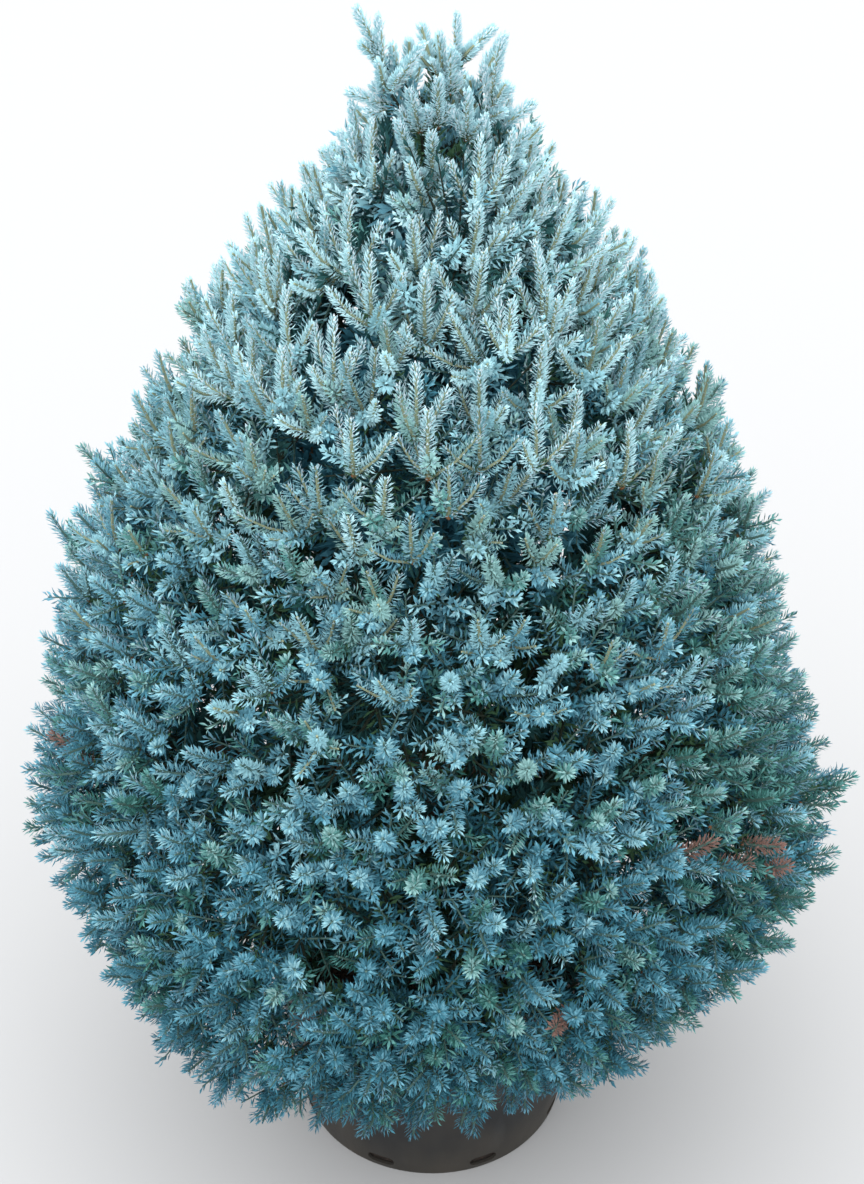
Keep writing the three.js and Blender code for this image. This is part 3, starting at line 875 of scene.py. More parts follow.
class Shoots:
    """Shoots of one mass: each has a foot, a way there, a way at its tip, and a length."""

    def __init__(self):
        self.rows = []

    def add(self, foot, way, end, length, tones, needles, size, radius, wood=YOUNG, ringed=0, lean=1):
        """Adds one shoot.

        tones are the slots of its needles and of their points, size is their length and width,
        and lean is how far they stand off, against the settings.
        """
        row = dict(
            foot=foot,
            way=way,
            end=end,
            length=length,
            body=SLOT[tones[0]],
            tip=SLOT[tones[1]],
            needles=max(int(needles), FEWEST_NEEDLES),
            needle=size[0],
            width=size[1],
            radius=radius,
            wood=wood,
            ringed=ringed,
            lean=lean,
        )
        self.rows.append(row)

    def arrays(self):
        """The shoots as arrays."""
        return {key: np.array([row[key] for row in self.rows]) for key in self.rows[0]}


def along(shoots, t):
    """Points and ways at t along shoots, with one t for each shoot."""
    t = t[:, None]
    bend = shoots["end"] - shoots["way"]
    point = shoots["foot"] + shoots["length"][:, None] * (shoots["way"] * t + bend * t**2 / 2)
    return point, unit(shoots["way"] + bend * t)


def needle_slots(own, t, lengthways, rng):
    """The slots of each needle's four faces: olive where it is old, paler towards the shoot's tip, and the
    point's paler tone on one outer face. The pale tones are partly the needles' own waxy bloom and partly
    painted light; the darker body on the inner faces is partly painted shade.
    """
    young = (own["wood"] == YOUNG) | (own["wood"] == GREEN)
    old = (t < OLD_PART) & young & (rng.uniform(0, 1, len(t)) < OLD_CHANCE)
    old = old & (own["body"] != SLOT["dead"])
    pale = rng.uniform(0, 1, len(t)) < PALE_CHANCE * between(t, PALE_PART)
    body = np.where(pale, PALER[own["body"]], own["body"])
    body = np.where(old, SLOT["olive"], body)
    tip = np.where(old, SLOT["olive"], own["tip"])
    return np.stack([body, np.where(lengthways, body, tip), body, np.where(lengthways, tip, body)], -1)


def grow_needles(shoots, settings, rng):
    """Needles all round each shoot, most on its outer side, as closed slivers of four faces."""
    counts = shoots["needles"]
    owner = np.repeat(np.arange(len(counts)), counts)
    own = {key: value[owner] for key, value in shoots.items()}
    total = len(owner)
    order = np.arange(total) - np.repeat(np.cumsum(counts) - counts, counts)
    jitter = rng.uniform(-NEEDLE_JITTER, NEEDLE_JITTER, total)
    angle = order * GOLDEN_ANGLE + jitter + owner * SHOOT_TURN
    t = FIRST_NEEDLE + (1 - FIRST_NEEDLE) * (order + rng.uniform(0, 1, total)) / counts[owner]
    point, way = along(own, t)
    outward = unit(own["foot"] * LEVEL) + OUTWARD_LIFT * UP
    normal = outward - way * np.sum(outward * way, axis=1, keepdims=True)
    uneven = np.linalg.norm(normal, axis=1)
    normal = normal / np.maximum(uneven, 1e-6)[:, None]
    uneven = np.minimum(uneven, 1)
    binormal = np.cross(way, normal)
    crowded = settings.needle_flank * np.sin(2 * angle) - settings.needle_bias * np.sin(angle)
    angle = angle + uneven * crowded
    radial = normal * np.cos(angle)[:, None] + binormal * np.sin(angle)[:, None]
    lean = settings.lean_foot + (settings.lean_tip - settings.lean_foot) * t**LEAN_POWER
    lean = own["lean"] * (np.radians(lean) + rng.normal(0, LEAN_JITTER, total))
    aim = unit(way * np.cos(lean)[:, None] + radial * np.sin(lean)[:, None])
    aim = unit(aim + UPWARD * (UP - way * way[:, 2:]))
    short = 1 - SHORT_TIP * between(t, TIP_PART) - SHORT_FOOT * between(t, FOOT_PART)
    length = own["needle"] * short * rng.uniform(*LENGTH_RANGE, total)
    width = own["width"] * rng.uniform(*WIDTH_RANGE, total)
    side = unit(np.cross(radial, aim))
    outer = np.cross(aim, side)
    root = point + radial * ROOT_RADIUS * own["radius"][:, None]
    # Every other needle has its ridge along it, and the rest have it across.
    lengthways = order % 2 == 0
    ridge = np.where(lengthways, *RIDGES) * width
    middle = root + aim * (WIDEST_PART * length)[:, None] + outer * ridge[:, None]
    half = side * np.where(lengthways, -0.5, 0.5)[:, None] * width[:, None]
    points = np.stack([root, root + aim * length[:, None], middle + half, middle - half], 1)
    slots = needle_slots(own, t, lengthways, rng)
    hidden = np.cos(angle) * uneven < FALLEN_COSINE
    chance = np.where(own["wood"] == DEEP, KEPT_DEEP_CHANCE, KEPT_CHANCE)
    kept = ~hidden | (rng.uniform(0, 1, total) < chance)
    sliver = np.array([[0, 3, 2], [1, 2, 3], [0, 2, 1], [0, 1, 3]])
    faces = sliver[None] + 4 * np.arange(kept.sum())[:, None, None]
    return points[kept].reshape(-1, 3), faces.reshape(-1, 3), slots[kept].ravel()


def grow_twigs(parts, shoots):
    """The wood of the shoots, and a ring of bud scales at the foot of each whorl."""
    for wood, (steps, sides, slot) in WOOD_FORMS.items():
        chosen = shoots["wood"] == wood
        if not chosen.any():
            continue
        own = {key: value[chosen] for key, value in shoots.items()}
        count = len(own["length"])
        paths = [along(own, np.full(count, t))[0] for t in np.linspace(0, 1, steps + 1)]
        radii = own["radius"][:, None] * np.linspace(1, TWIG_TIP, steps + 1)
        parts.add(*tubes(np.stack(paths, 1), radii, sides), TWIG_SLOTS.index(slot))
    ringed = shoots["ringed"] > 0
    if ringed.any():
        foot, way = shoots["foot"][ringed], shoots["way"][ringed]
        scales = foot[:, None, :] + way[:, None, :] * SCALE_PLACES[None, :, None]
        swell = shoots["radius"][ringed][:, None] * SCALE_RADII
        parts.add(*tubes(scales, swell, 4), TWIG_SLOTS.index("bud_scale"))


def tones_at(share, rng, painted_shade_and_age=0.0, greener=0.0):
    """The slots of a shoot's needles and of their points: frosted at the top, deep at the skirt, partly
    painted light and shade. Deeper sprays can be dealt tones some ranks darker, as painted shade.
    """
    rank = LOW_RANK + RANK_RISE * share + FROST_AND_PAINTED_LIGHT_RANK * between(share, FROST_AND_LIGHT_SHARES)
    rank = rank - painted_shade_and_age + rng.normal(0, RANK_SPREAD)
    rank = int(np.clip(round(rank), 0, len(TONES) - 1))
    sage = rng.uniform() < np.interp(share, (0, 1), SAGE_SHARES) + greener
    body = SAGES[rank] if sage else f"body_{TONES[rank]}"
    return body, f"tip_{TONES[rank]}"


def is_dead(point):
    """Whether a place lies in a spray of dead needles."""
    for turn, height, radius in DEAD_SPRAYS:
        there = crown_point(math.radians(turn), height, DEAD_DEPTH)
        if np.linalg.norm(point - there) < radius + DEAD_MARGIN:
            return True
    return False


def perpendicular(way, outward, roll):
    """A unit vector square to a way. It points outwards where the roll is 0."""
    normal = outward - way * np.dot(outward, way)
    if np.linalg.norm(normal) < 0.05:
        normal = np.cross(way, [0.0, 1.0, 0.0])
    normal = unit(normal)
    return normal * math.cos(roll) + np.cross(way, normal) * math.sin(roll)


def outward_at(azimuth, share):
    """The crown's outward normal."""
    step = 0.01
    fall = crown_radius(share + step, azimuth) - crown_radius(share - step, azimuth)
    slope = float(fall) / (2 * step * CROWN_HEIGHT)
    return unit(np.array([math.cos(azimuth), math.sin(azimuth), -slope]))


def flank_green(azimuth, share):
    """How many more sprays are green here, on the right flank."""
    apart = abs((azimuth - GREEN_FLANK + math.pi) % (2 * math.pi) - math.pi)
    return FLANK_SHARE * between(apart, (FLANK_WIDTH, FLANK_WIDTH / 2)) * between(share, FLANK_TOP)


def grow_whorl(shoots, azimuth, share, depth, branch, settings, rng):
    """A leading shoot and its whorl of side shoots, on last year's wood."""
    outward = outward_at(azimuth, share)
    upper = between(share, UPPER_CROWN)
    rise = shoot_rise(share) + rng.normal(0, RISE_JITTER)
    turn = azimuth + rng.normal(0, TURN_JITTER)
    end = way_at(turn, rise)
    way = unit(end + FOOT_BEND * way_at(turn, growth_angle(share) - FOOT_LOWER))
    sized = SHOOT_SIZE + SHOOT_GAIN * share + UPPER_GAIN * upper
    long = settings.shoot_length * sized * rng.uniform(*SHOOT_RANGE)
    needle = settings.needle_length * float(np.interp(share, NEEDLE_SHARES, NEEDLE_SCALES))
    dense = settings.needles_per_metre * float(np.interp(share, NEEDLE_SHARES, NEEDLE_DENSITIES))
    size, wood = (needle, settings.needle_width), settings.twig_radius
    lean = 1 - UPPER_LEAN * upper
    tip = crown_point(azimuth, share, depth + TIP_DEPTH * needle)
    node = tip - long * (way + end) / 2
    greener = flank_green(azimuth, share)
    tones = DEAD if is_dead(tip) else tones_at(share, rng, 0.0, greener)
    bark = YOUNG if rng.uniform() < between(share, YOUNG_WOOD_PART) else GREEN
    amount = LEADING_DENSITY * dense * long
    shoots.add(node, way, end, long, tones, amount, size, wood, bark, 1, lean)
    rolls = SIDE_ROLLS[rng.integers(len(SIDE_ROLLS))]
    if rng.uniform() < upper:
        rolls = UPPER_ROLLS
    for roll in rolls:
        spread = math.radians(rng.uniform(*SIDE_SPREAD) * (1 - UPPER_SPREAD * upper))
        side = perpendicular(way, outward, roll + rng.normal(0, ROLL_JITTER))
        side = unit(way * math.cos(spread) + side * math.sin(spread))
        bent = unit(SIDE_BEND[0] * side + SIDE_BEND[1] * end + SIDE_BEND[2] * UP)
        reach = long * rng.uniform(*SIDE_RANGE)
        top = node + reach * (side + bent) / 2
        tones = DEAD if is_dead(top) else tones_at(share, rng, SIDE_PAINTED_SHADE, greener)
        amount = SIDE_DENSITY * dense * reach
        shoots.add(node, side, bent, reach, tones, amount, size, SIDE_WOOD * wood, bark, 0, lean)
    back = node - branch
    old = np.linalg.norm(back)
    back = back / max(old, 1e-6)
    olive = rng.uniform() < OLIVE_CHANCE * (1 - OLIVE_FADE * upper)
    tone = "olive" if olive else tones_at(share, rng, OLD_AGE_AND_PAINTED_SHADE)[0]
    deep = (settings.deep_needle, settings.deep_width)
    first, last = (unit(own * back + whorl * way) for own, whorl in (OLD_FOOT, OLD_END))
    shoots.add(branch, first, last, old, (tone, tone), OLD_DENSITY * old, deep, OLD_WOOD * wood, OLD)
    small = (SHADED_NEEDLE * needle, SHADED_WIDTH * settings.needle_width)
    first_roll = rng.uniform(0, 2 * math.pi)
    for k in range(SHADED_TWIGS):
        at = branch + back * old * rng.uniform(*SHADED_PLACES)
        roll = first_roll + k * SHADED_ROLL / SHADED_TWIGS + rng.uniform(-SHADED_JITTER, SHADED_JITTER)
        aim = unit(way * SHADED_ALONG + perpendicular(way, outward, roll) * SHADED_ASIDE)
        sized = SHADED_SIZE + SHADED_GAIN * share
        reach = settings.shoot_length * sized * rng.uniform(*SHADED_RANGE)
        tones = tones_at(share, rng, SHADED_PAINTED_SHADE, greener)
        amount = SHADED_DENSITY * dense * reach
        end = unit(aim + SHADED_BEND * way)
        shoots.add(at, aim, end, reach, tones, amount, small, SHADED_WOOD * wood, DEEP)


def fill_hub(shoots, cell, heart, hub, count, settings, rng):
    """Short, shaded twigs round a hub, in tones some ranks deeper as painted shade, which close the crown
    behind its shoots.
    """
    away = unit(hub - heart + FILL_OUTWARDS * unit(hub * LEVEL))
    size = (FILL_NEEDLE * settings.deep_needle, FILL_WIDTH * settings.deep_width)
    for k in range(count):
        roll = k * math.tau / count + rng.uniform(-FILL_JITTER, FILL_JITTER)
        aim = unit(FILL_FORWARDS * away + perpendicular(away, UP, roll))
        reach = rng.uniform(*FILL_REACH)
        tone = tones_at(cell["low"], rng, FILL_PAINTED_SHADE)[0]
        end = unit(aim + FILL_FORWARDS * away)
        shoots.add(hub, aim, end, reach, (tone, tone), FILL_NEEDLES, size, FILL_WOOD, DEEP)


def grow_branches(shoots, cell, heart, settings):
    """The old branches from a mass's heart to its hubs and towards the walls of its cell. Gives the hubs."""
    size, dense = (settings.deep_needle, settings.deep_width), settings.needles_per_metre
    rows, across = HUB_ROWS[cell["name"]]
    hubs = []
    for row in range(rows):
        offset = HUB_STAGGER if row % 2 else -HUB_STAGGER
        for column in range(across):
            place = ((column + 0.5 + offset) / across - 0.5) * HUB_SPREAD + 0.5
            up = ((row + 0.5) / rows - 0.5) * HUB_SPREAD + 0.5
            hub = cell_point(cell, place, up, cell["depth"] + HUB_DEPTH)
            hubs.append(hub)
            reach = np.linalg.norm(hub - heart)
            if reach < 1e-3:
                continue
            aim, out = (hub - heart) / reach, BRANCH_BEND * unit(hub * LEVEL)
            amount, wood = HUB_DENSITY * dense * reach, HUB_BRANCH * cell["limb"]
            shoots.add(heart, unit(aim - out), unit(aim + out), reach, SHADE, amount, size, wood, OLD)
    for place, up in WALL_PLACES:
        end = cell_point(cell, place, up, cell["depth"] + WALL_DEPTH)
        reach = np.linalg.norm(end - heart)
        aim = (end - heart) / reach
        amount, wood = WALL_DENSITY * dense * reach, WALL_BRANCH * cell["limb"]
        shoots.add(heart, aim, aim, reach, SHADE, amount, size, wood, OLD)
    return np.array(hubs)


def grow_whorls(shoots, cell, hubs, settings, rng):
    """Rows of whorls all over a cell, then the single whorls that stand in it."""

    def whorl_at(azimuth, share, depth):
        """A whorl on the branch to the nearest hub."""
        tip = crown_point(azimuth, share, depth)
        branch = hubs[np.argmin(np.linalg.norm(hubs - tip, axis=1))]
        grow_whorl(shoots, azimuth, share, depth, branch, settings, rng)

    edge = cell_point(cell, 0.5, np.array([0.0, 1.0]), 0.0)
    rise = np.linalg.norm(edge[1] - edge[0])
    tall = cell["high"] - cell["low"]
    spacing = settings.shoot_spacing * SPACING_SCALES[cell["name"]]
    closer = ROW_CLOSENESS - ROW_CLOSER * between(cell["low"], CLOSER_PART)
    rows = max(int(round(rise / (closer * spacing))), 1)
    for row in range(rows):
        share = cell["low"] + (row + FIRST_ROW) / rows * tall
        width = 2 * cell["half_turn"] * float(crown_radius(share, cell["azimuth"]))
        count = max(int(round(width / spacing)), 1)
        offset = ROW_STAGGER if row % 2 else -ROW_STAGGER
        for column in range(count):
            place = (column + 0.5 + offset + rng.uniform(-PLACE_JITTER, PLACE_JITTER)) / count
            here = share + rng.uniform(-HEIGHT_JITTER, HEIGHT_JITTER) / rows * tall
            azimuth = cell["azimuth"] + (place * 2 - 1) * cell["half_turn"]
            depth = rng.uniform(*DEPTH_RANGE) - (PROUD_BY if rng.uniform() < PROUD_CHANCE else 0)
            whorl_at(azimuth, here, depth)
    for turn, share, proud in SINGLE_WHORLS:
        apart = (math.radians(turn) - cell["azimuth"] + math.pi) % (2 * math.pi) - math.pi
        if abs(apart) < cell["half_turn"] and cell["low"] <= share < cell["high"]:
            whorl_at(cell["azimuth"] + apart, share, -proud)


def grow_mass(cell, settings):
    """The shoots of one mass, and the branches that carry them."""
    rng = np.random.default_rng(SEED + cell["seed"])
    shoots, parts = Shoots(), Parts()
    heart = heart_of(cell)
    foot, way = stem_foot(cell)
    if cell["name"] == BOUGHLESS:
        line = bough_line(cell, heart, way, STEM_STEPS)
        radii = cell["limb"] * np.linspace(1, 0.6, STEM_STEPS + 1)
    else:
        line = foot + (heart - foot) * np.linspace(0, 1, STEM_STEPS + 1)[:, None]
        radii = cell["limb"] * LIMB_TIP_SHARE * np.linspace(1, 0.8, STEM_STEPS + 1)
    parts.add(*tubes(line[None], radii[None], STEM_SIDES), TWIG_SLOTS.index("old_wood"))
    hubs = grow_branches(shoots, cell, heart, settings)
    for hub in hubs:
        fill_hub(shoots, cell, heart, hub, HUB_TWIGS, settings, rng)
    grow_whorls(shoots, cell, hubs, settings, rng)
    for hub in hubs:
        fill_hub(shoots, cell, heart, hub, EXTRA_HUB_TWIGS[cell["name"]], settings, rng)
    return shoots.arrays(), parts, rng


def inner_tone(height, rng):
    """The slot of the needles deep in the crown, at a share of its height: painted shade, near black low down
    and paler higher up.
    """
    low = "shade" if rng.uniform() < SHADE_CHANCE else "deep"
    if height > INNER_SLATE:
        return "body_slate"
    return "body_teal" if height > INNER_TEAL else low


def grow_inner(settings):
    """The old, shaded twigs along the boughs and the stem."""
    rng = np.random.default_rng(SEED + 300)
    shoots = Shoots()
    size = (settings.inner_needle, settings.inner_width)
    limbs = []
    for cell in all_cells():
        if cell["name"] != BOUGHLESS:
            end, way = stem_foot(cell)
            limbs.append((bough_line(cell, end, way, INNER_STEPS), int(BOUGH_TWIGS * settings.inner_twigs)))
    stem = trunk_point(np.linspace(*INNER_STEM, INNER_STEPS + 1))
    limbs.append((stem, STEM_TWIGS * settings.inner_twigs))
    for line, count in limbs:
        for k in range(count):
            part = INNER_FROM + (1 - INNER_FROM) * (k + rng.uniform()) / count
            place = int(INNER_STEPS * part)
            way = unit(line[min(place + 1, INNER_STEPS)] - line[max(place - 1, 0)])
            side = perpendicular(way, UP, k * GOLDEN_ANGLE)
            aim = unit(way * rng.uniform(*INNER_FORWARDS) + side)
            reach = rng.uniform(*INNER_REACH)
            tone = inner_tone((line[place][2] - CROWN_FOOT) / CROWN_HEIGHT, rng)
            end = unit(aim + INNER_BEND * way)
            shoots.add(line[place], aim, end, reach, (tone, tone), FILL_NEEDLES, size, INNER_WOOD, DEEP)
    return shoots.arrays(), Parts(), rng


def leading_fingers():
    """The tips and feet of the leading shoots: those listed, and every second one again at the back."""
    fingers = []
    for tip_x, tip_z, foot_x, foot_z, forward in LEADING_SHOOTS:
        fingers.append(np.array([[tip_x, -forward, tip_z], [foot_x, -FOOT_FORWARD * forward, foot_z]]))
    for tip, foot in fingers[::2]:
        fingers.append([[-1, 1, 1] * end + [0, BACK_SHIFT - tip[1], -BACK_DROP] for end in (tip, foot)])
    return fingers


def grow_leader(settings):
    """The leading shoots above the fork, each on its own twig from the stem."""
    rng = np.random.default_rng(SEED)
    shoots, parts = Shoots(), Parts()
    fork = trunk_point(TRUNK_TOP)
    line = fork + (CREST - fork) * np.linspace(0, 1, STEM_STEPS + 1)[:, None]
    radii = np.linspace(*CREST_RADII, STEM_STEPS + 1)
    parts.add(*tubes(line[None], radii[None], STEM_SIDES), TWIG_SLOTS.index("old_wood"))
    dense, wood = LEADER_DENSITY * settings.needles_per_metre, settings.twig_radius
    needle, width = LEADER_NEEDLE * settings.needle_length, settings.needle_width
    twig_size = (LEADER_TWIG_NEEDLE, LEADER_TWIG_WIDTH * width)
    for tip, foot in leading_fingers():
        reach = np.linalg.norm(tip - foot)
        aim = (tip - foot) / reach
        stem = reach - LEADER_BUD
        curve = LEADER_CURVE * aim * LEVEL
        size = (rng.uniform(*LEADER_RANGE) * needle, width)
        tones = tones_at(LEADER_SHARE, rng)
        first, last = unit(aim - curve), unit(aim + curve)
        shoots.add(foot, first, last, stem, tones, dense * stem, size, wood, YOUNG, 1, LEADER_LEAN)
        low = foot[2] - TWIG_DROP
        if low < TRUNK_TOP:
            start = trunk_point(low)
        else:
            start = fork + (CREST - fork) * (low - TRUNK_TOP) / (CREST[2] - TRUNK_TOP)
        length = np.linalg.norm(foot - start)
        back = (foot - start) / length
        tones = ("olive" if rng.uniform() < LEADER_OLIVE_CHANCE else "body_slate", "body_silver")
        first, last = unit(back - LEADER_TWIG_CURVE * aim), unit(back + LEADER_TWIG_CURVE * aim)
        amount = LEADER_TWIG_DENSITY * dense * length
        shoots.add(start, first, last, length, tones, amount, twig_size, wood, OLD)
        first_roll = rng.uniform(0, 2 * math.pi)
        for k in range(LEADER_SIDES):
            side = perpendicular(aim, LEADER_SIDE_FROM, first_roll + k * 2 * math.pi / LEADER_SIDES)
            side = unit(aim * LEADER_ALONG + side * LEADER_ASIDE)
            far = reach * rng.uniform(*LEADER_SIDE_RANGE)
            tones = tones_at(LEADER_SIDE_SHARE, rng)
            last, thin = unit(side + aim), LEADER_SIDE_WOOD * wood
            shoots.add(
                foot, side, last, far, tones, dense * far, (needle, width), thin, YOUNG, 0, LEADER_SIDE_LEAN
            )
    return shoots.arrays(), parts, rng


# Settings


def length_property(name, description, default):
    """A length in metres that a user may change."""
    return FloatProperty(name=name, description=description, default=default, unit="LENGTH")


def number_property(name, description, default):
    """A plain number that a user may change."""
    return FloatProperty(name=name, description=description, default=default)


def colour_property(name, description, default):
    """A colour that a user may change."""
    return FloatVectorProperty(
        name=name, description=description, default=default, subtype="COLOR", min=0, max=1, size=3
    )


class SpruceCrownSettings(PropertyGroup):
    """Sizes of the twigs and needles."""

    shoot_spacing: length_property("Whorl spacing", "Distance between neighbouring whorls", 0.0555)
    shoot_length: length_property("Shoot length", "Length of this year's leading shoots", 0.047)
    twig_radius: length_property("Twig radius", "Radius of a young twig", 0.002)
    needle_length: length_property("Needle length", "Length of a needle", 0.0098)
    needle_width: length_property("Needle width", "Width of a needle at its middle", 0.0021)
    deep_needle: length_property("Old needle length", "Length of a needle on old wood", 0.017)
    deep_width: length_property("Old needle width", "Width of a needle on old wood", 0.004)
    inner_needle: length_property("Inner needle length", "Length of a needle by the boughs", 0.024)
    inner_width: length_property("Inner needle width", "Width of a needle by the boughs", 0.006)
    inner_twigs: IntProperty(name="Inner twigs", description="Old twigs along each bough", default=22)
    needles_per_metre: number_property("Needles per metre", "Needles for each metre of a shoot", 1740)
    needle_bias: number_property("Needle bias", "How far the needles crowd to the outer side", 0.35)
    needle_flank: number_property("Needle flank", "How far they crowd to the twig's two flanks", 0.2)
    lean_foot: number_property("Lean at the foot", "Degrees between a needle and its twig there", 60)
    lean_tip: number_property("Lean at the tip", "Degrees between a needle and its twig there", 26)


class SpruceToneSettings(PropertyGroup):
    """Colours of the needles and the young wood."""

    # The body tones run from teal at the skirt to frost at the top: partly the frosted young growth, partly
    # painted light at the top and painted shade low down.
    body_frost: colour_property("Frosted needles", "Lightest sprays, at the top", (0.475, 0.72, 0.77))
    body_silver: colour_property("Silver needles", "Sprays of the upper third", (0.255, 0.482, 0.54))
    body_slate: colour_property("Slate-blue needles", "Sprays of the middle", (0.129, 0.325, 0.408))
    body_steel: colour_property("Steel-blue needles", "Sprays below the middle", (0.059, 0.205, 0.27))
    body_teal: colour_property("Teal needles", "Deep sprays, at the skirt", (0.033, 0.138, 0.188))
    # Points are paler partly for the needles' own waxy bloom and partly as painted light on their outer
    # faces.
    tip_frost: colour_property("Frosted points", "Needle points at the top", (0.74, 0.85, 0.9))
    tip_silver: colour_property("Silver points", "Needle points of the upper third", (0.5, 0.645, 0.715))
    tip_slate: colour_property("Slate-blue points", "Needle points of the middle", (0.38, 0.525, 0.61))
    tip_steel: colour_property("Steel-blue points", "Needle points below the middle", (0.215, 0.378, 0.475))
    tip_teal: colour_property("Teal points", "Needle points at the skirt", (0.14, 0.293, 0.385))
    olive: colour_property("Old needles", "Last year's needles", (0.058, 0.13, 0.066))
    # Deep and shaded needles are near black as painted shade deep in the crown; the deep ones are partly the
    # darker green of old needles too.
    deep: colour_property("Deep needles", "Old needles by the boughs", (0.02, 0.05, 0.026))
    shade: colour_property("Shaded needles", "Needles deep in the crown", (0.022, 0.08, 0.08))
    sage_low: colour_property("Green needles", "Greener sprays of the lower half", (0.036, 0.138, 0.122))
    sage_high: colour_property("Sage needles", "Greener sprays of the upper half", (0.1, 0.265, 0.25))
    sage_frost: colour_property("Pale sage needles", "Greener sprays at the top", (0.24, 0.43, 0.42))
    dead: colour_property("Dead needles", "Small sprays of dead needles", (0.2, 0.12, 0.1))
    young_wood: colour_property("Young wood", "This year's twigs", (0.28, 0.3, 0.19))
    green_wood: colour_property("Green wood", "Young twigs low in the crown", (0.078, 0.142, 0.122))
    old_wood: colour_property("Old wood", "Older twigs", (0.022, 0.03, 0.02))
    bud_scale: colour_property("Bud scales", "Rings of scales at each whorl", (0.24, 0.11, 0.05))


class SpruceBarkSettings(PropertyGroup):
    """Relief and colours of the bark."""

    relief: length_property("Relief", "Depth of the scales on the trunk", 0.0014)
    # The main colour of the bark is partly painted shade: it is set a little darker for the shade inside the
    # crown.
    bark_colour: colour_property("Bark", "Main colour of the bark", (0.1, 0.075, 0.052))
    scale_colour: colour_property("Scales", "Raised scales of the bark", (0.2, 0.16, 0.12))
    crack_colour: colour_property("Cracks", "Between the scales", (0.035, 0.024, 0.016))


class SprucePotSettings(PropertyGroup):
    """The pot and what fills it."""

    sides: IntProperty(name="Sides", description="Faces round the pot", default=144, min=24)
    chips: IntProperty(name="Chips", description="Bark chips on the compost", default=1000, min=0)
    chip_size: length_property("Chip size", "Length of a large bark chip", 0.015)
    pot_colour: colour_property("Pot", "Plastic of the pot", (0.014, 0.015, 0.016))
    dust_colour: colour_property("Dust", "Dust at the foot of the pot", (0.09, 0.075, 0.055))
    compost_colour: colour_property("Compost", "Bark compost", (0.045, 0.028, 0.018))


class SpruceStageSettings(PropertyGroup):
    """Floor, light and camera."""

    floor_colour: colour_property("Floor", "Plain pale floor", (0.42, 0.42, 0.42))
    sky_strength: number_property("Sky", "Strength of the even light", 1.15)
    overhead_strength: number_property("Overhead", "Strength of the soft light above", 4.2)
    focal_pixels: number_property("Focal length", "In pixels of an image 1184 pixels tall", 2291.19)
    distance: length_property("Camera distance", "From the camera to its target", 2.3)
    elevation: FloatProperty(
        name="Camera elevation", description="Above the horizon", default=math.radians(36), subtype="ANGLE"
    )
    target_height: length_property("Target height", "Of the point the camera looks at", 0.7066)


# Operators


# The bark: how much each octave of its relief adds, how high and sharp its flakes are, and their lengths.
BARK_OCTAVES = ((1, 0.5), (2, 0.32), (4, 0.18))
FLAKE_SHARE, FLAKE_EDGE, BARK_LEVEL = 0.8, 4, -0.4
LUMP_LENGTH = 0.022
FLAKE_LENGTH = 0.012
# The steps, the sides and the lumps round the trunk and round a bough, and the boughs' share of the relief.
TRUNK_FORM = dict(steps=199, sides=48, lumps=9)
BOUGH_FORM = dict(steps=32, sides=14, lumps=5)
BOUGH_RELIEF = 0.45
# The collar where a bough leaves the trunk: how much thicker it is, and how soon that fades.
COLLAR = 0.35
COLLAR_REACH = 0.07
# The height in which the trunk's foot is cut flat.
CUT_FOOT = 0.0008

# The pot, as in the part's source: its height, the heights of its band and of its lip, and its radii at the
# foot, the shoulder, the band and the lip.
POT_HEIGHT = 0.296
POT_BAND_TALL = 0.044
POT_LIP_TALL = 0.013
POT_FOOT = 0.150
POT_SHOULDER = 0.184
POT_BAND = 0.190
POT_LIP = 0.200
POT_WALL = 0.004
# Edges that turn more than this are sharp.
POT_SHARP = math.radians(32)
# Its drainage slots: their number, width and height, how high they are, and the radii between which they cut.
DRAINS = 8
DRAIN_WIDTH = 0.032
DRAIN_HEIGHT = 0.014
DRAIN_ABOVE = 0.008
DRAIN_NEAR = 0.132
DRAIN_FAR = 0.160
DRAIN_STEPS = 24

# The compost: its gap to the pot, its heights, how it sinks towards the wall, and its rings and sides.
COMPOST_SLACK = 0.0045
COMPOST_FLOOR = 0.0043
COMPOST_SHOULDER = 0.250
COMPOST_BAND = 0.256
COMPOST_DIP = 0.006
DIP_PART = (0.062, 0.182)
COMPOST_RINGS = 32
COMPOST_SIDES = 120
# Its crumbs: how many round it, their length outwards, the share of finer ones, how high and how deep they
# move its top, where the bumps begin, and how far down and how far in the top is left as it is.
CRUMBS_ROUND = 40
CRUMB_LENGTH = 0.008
FINE_CRUMBS = 0.6
CRUMB_HEIGHT = 0.0022
CRUMB_SINK = 0.0006
CRUMB_PART = (0.036, 0.056)
CRUMB_MARGIN = 0.0005
CRUMB_FROM = 0.004
# The band on which the chips lie: its inner radius, its gap to the wall, its sides, its depth and its fall.
CHIPS_FROM = 0.046
CHIPS_MARGIN = 0.010
CHIPS_SIDES = 64
CHIPS_SINK = 0.0015
CHIPS_DROP = 0.003
# The smallest and the largest chip, against the setting, and the seed by which they are strewn.
CHIP_SIZES = (0.35, 1.0)
CHIP_SEED = 3


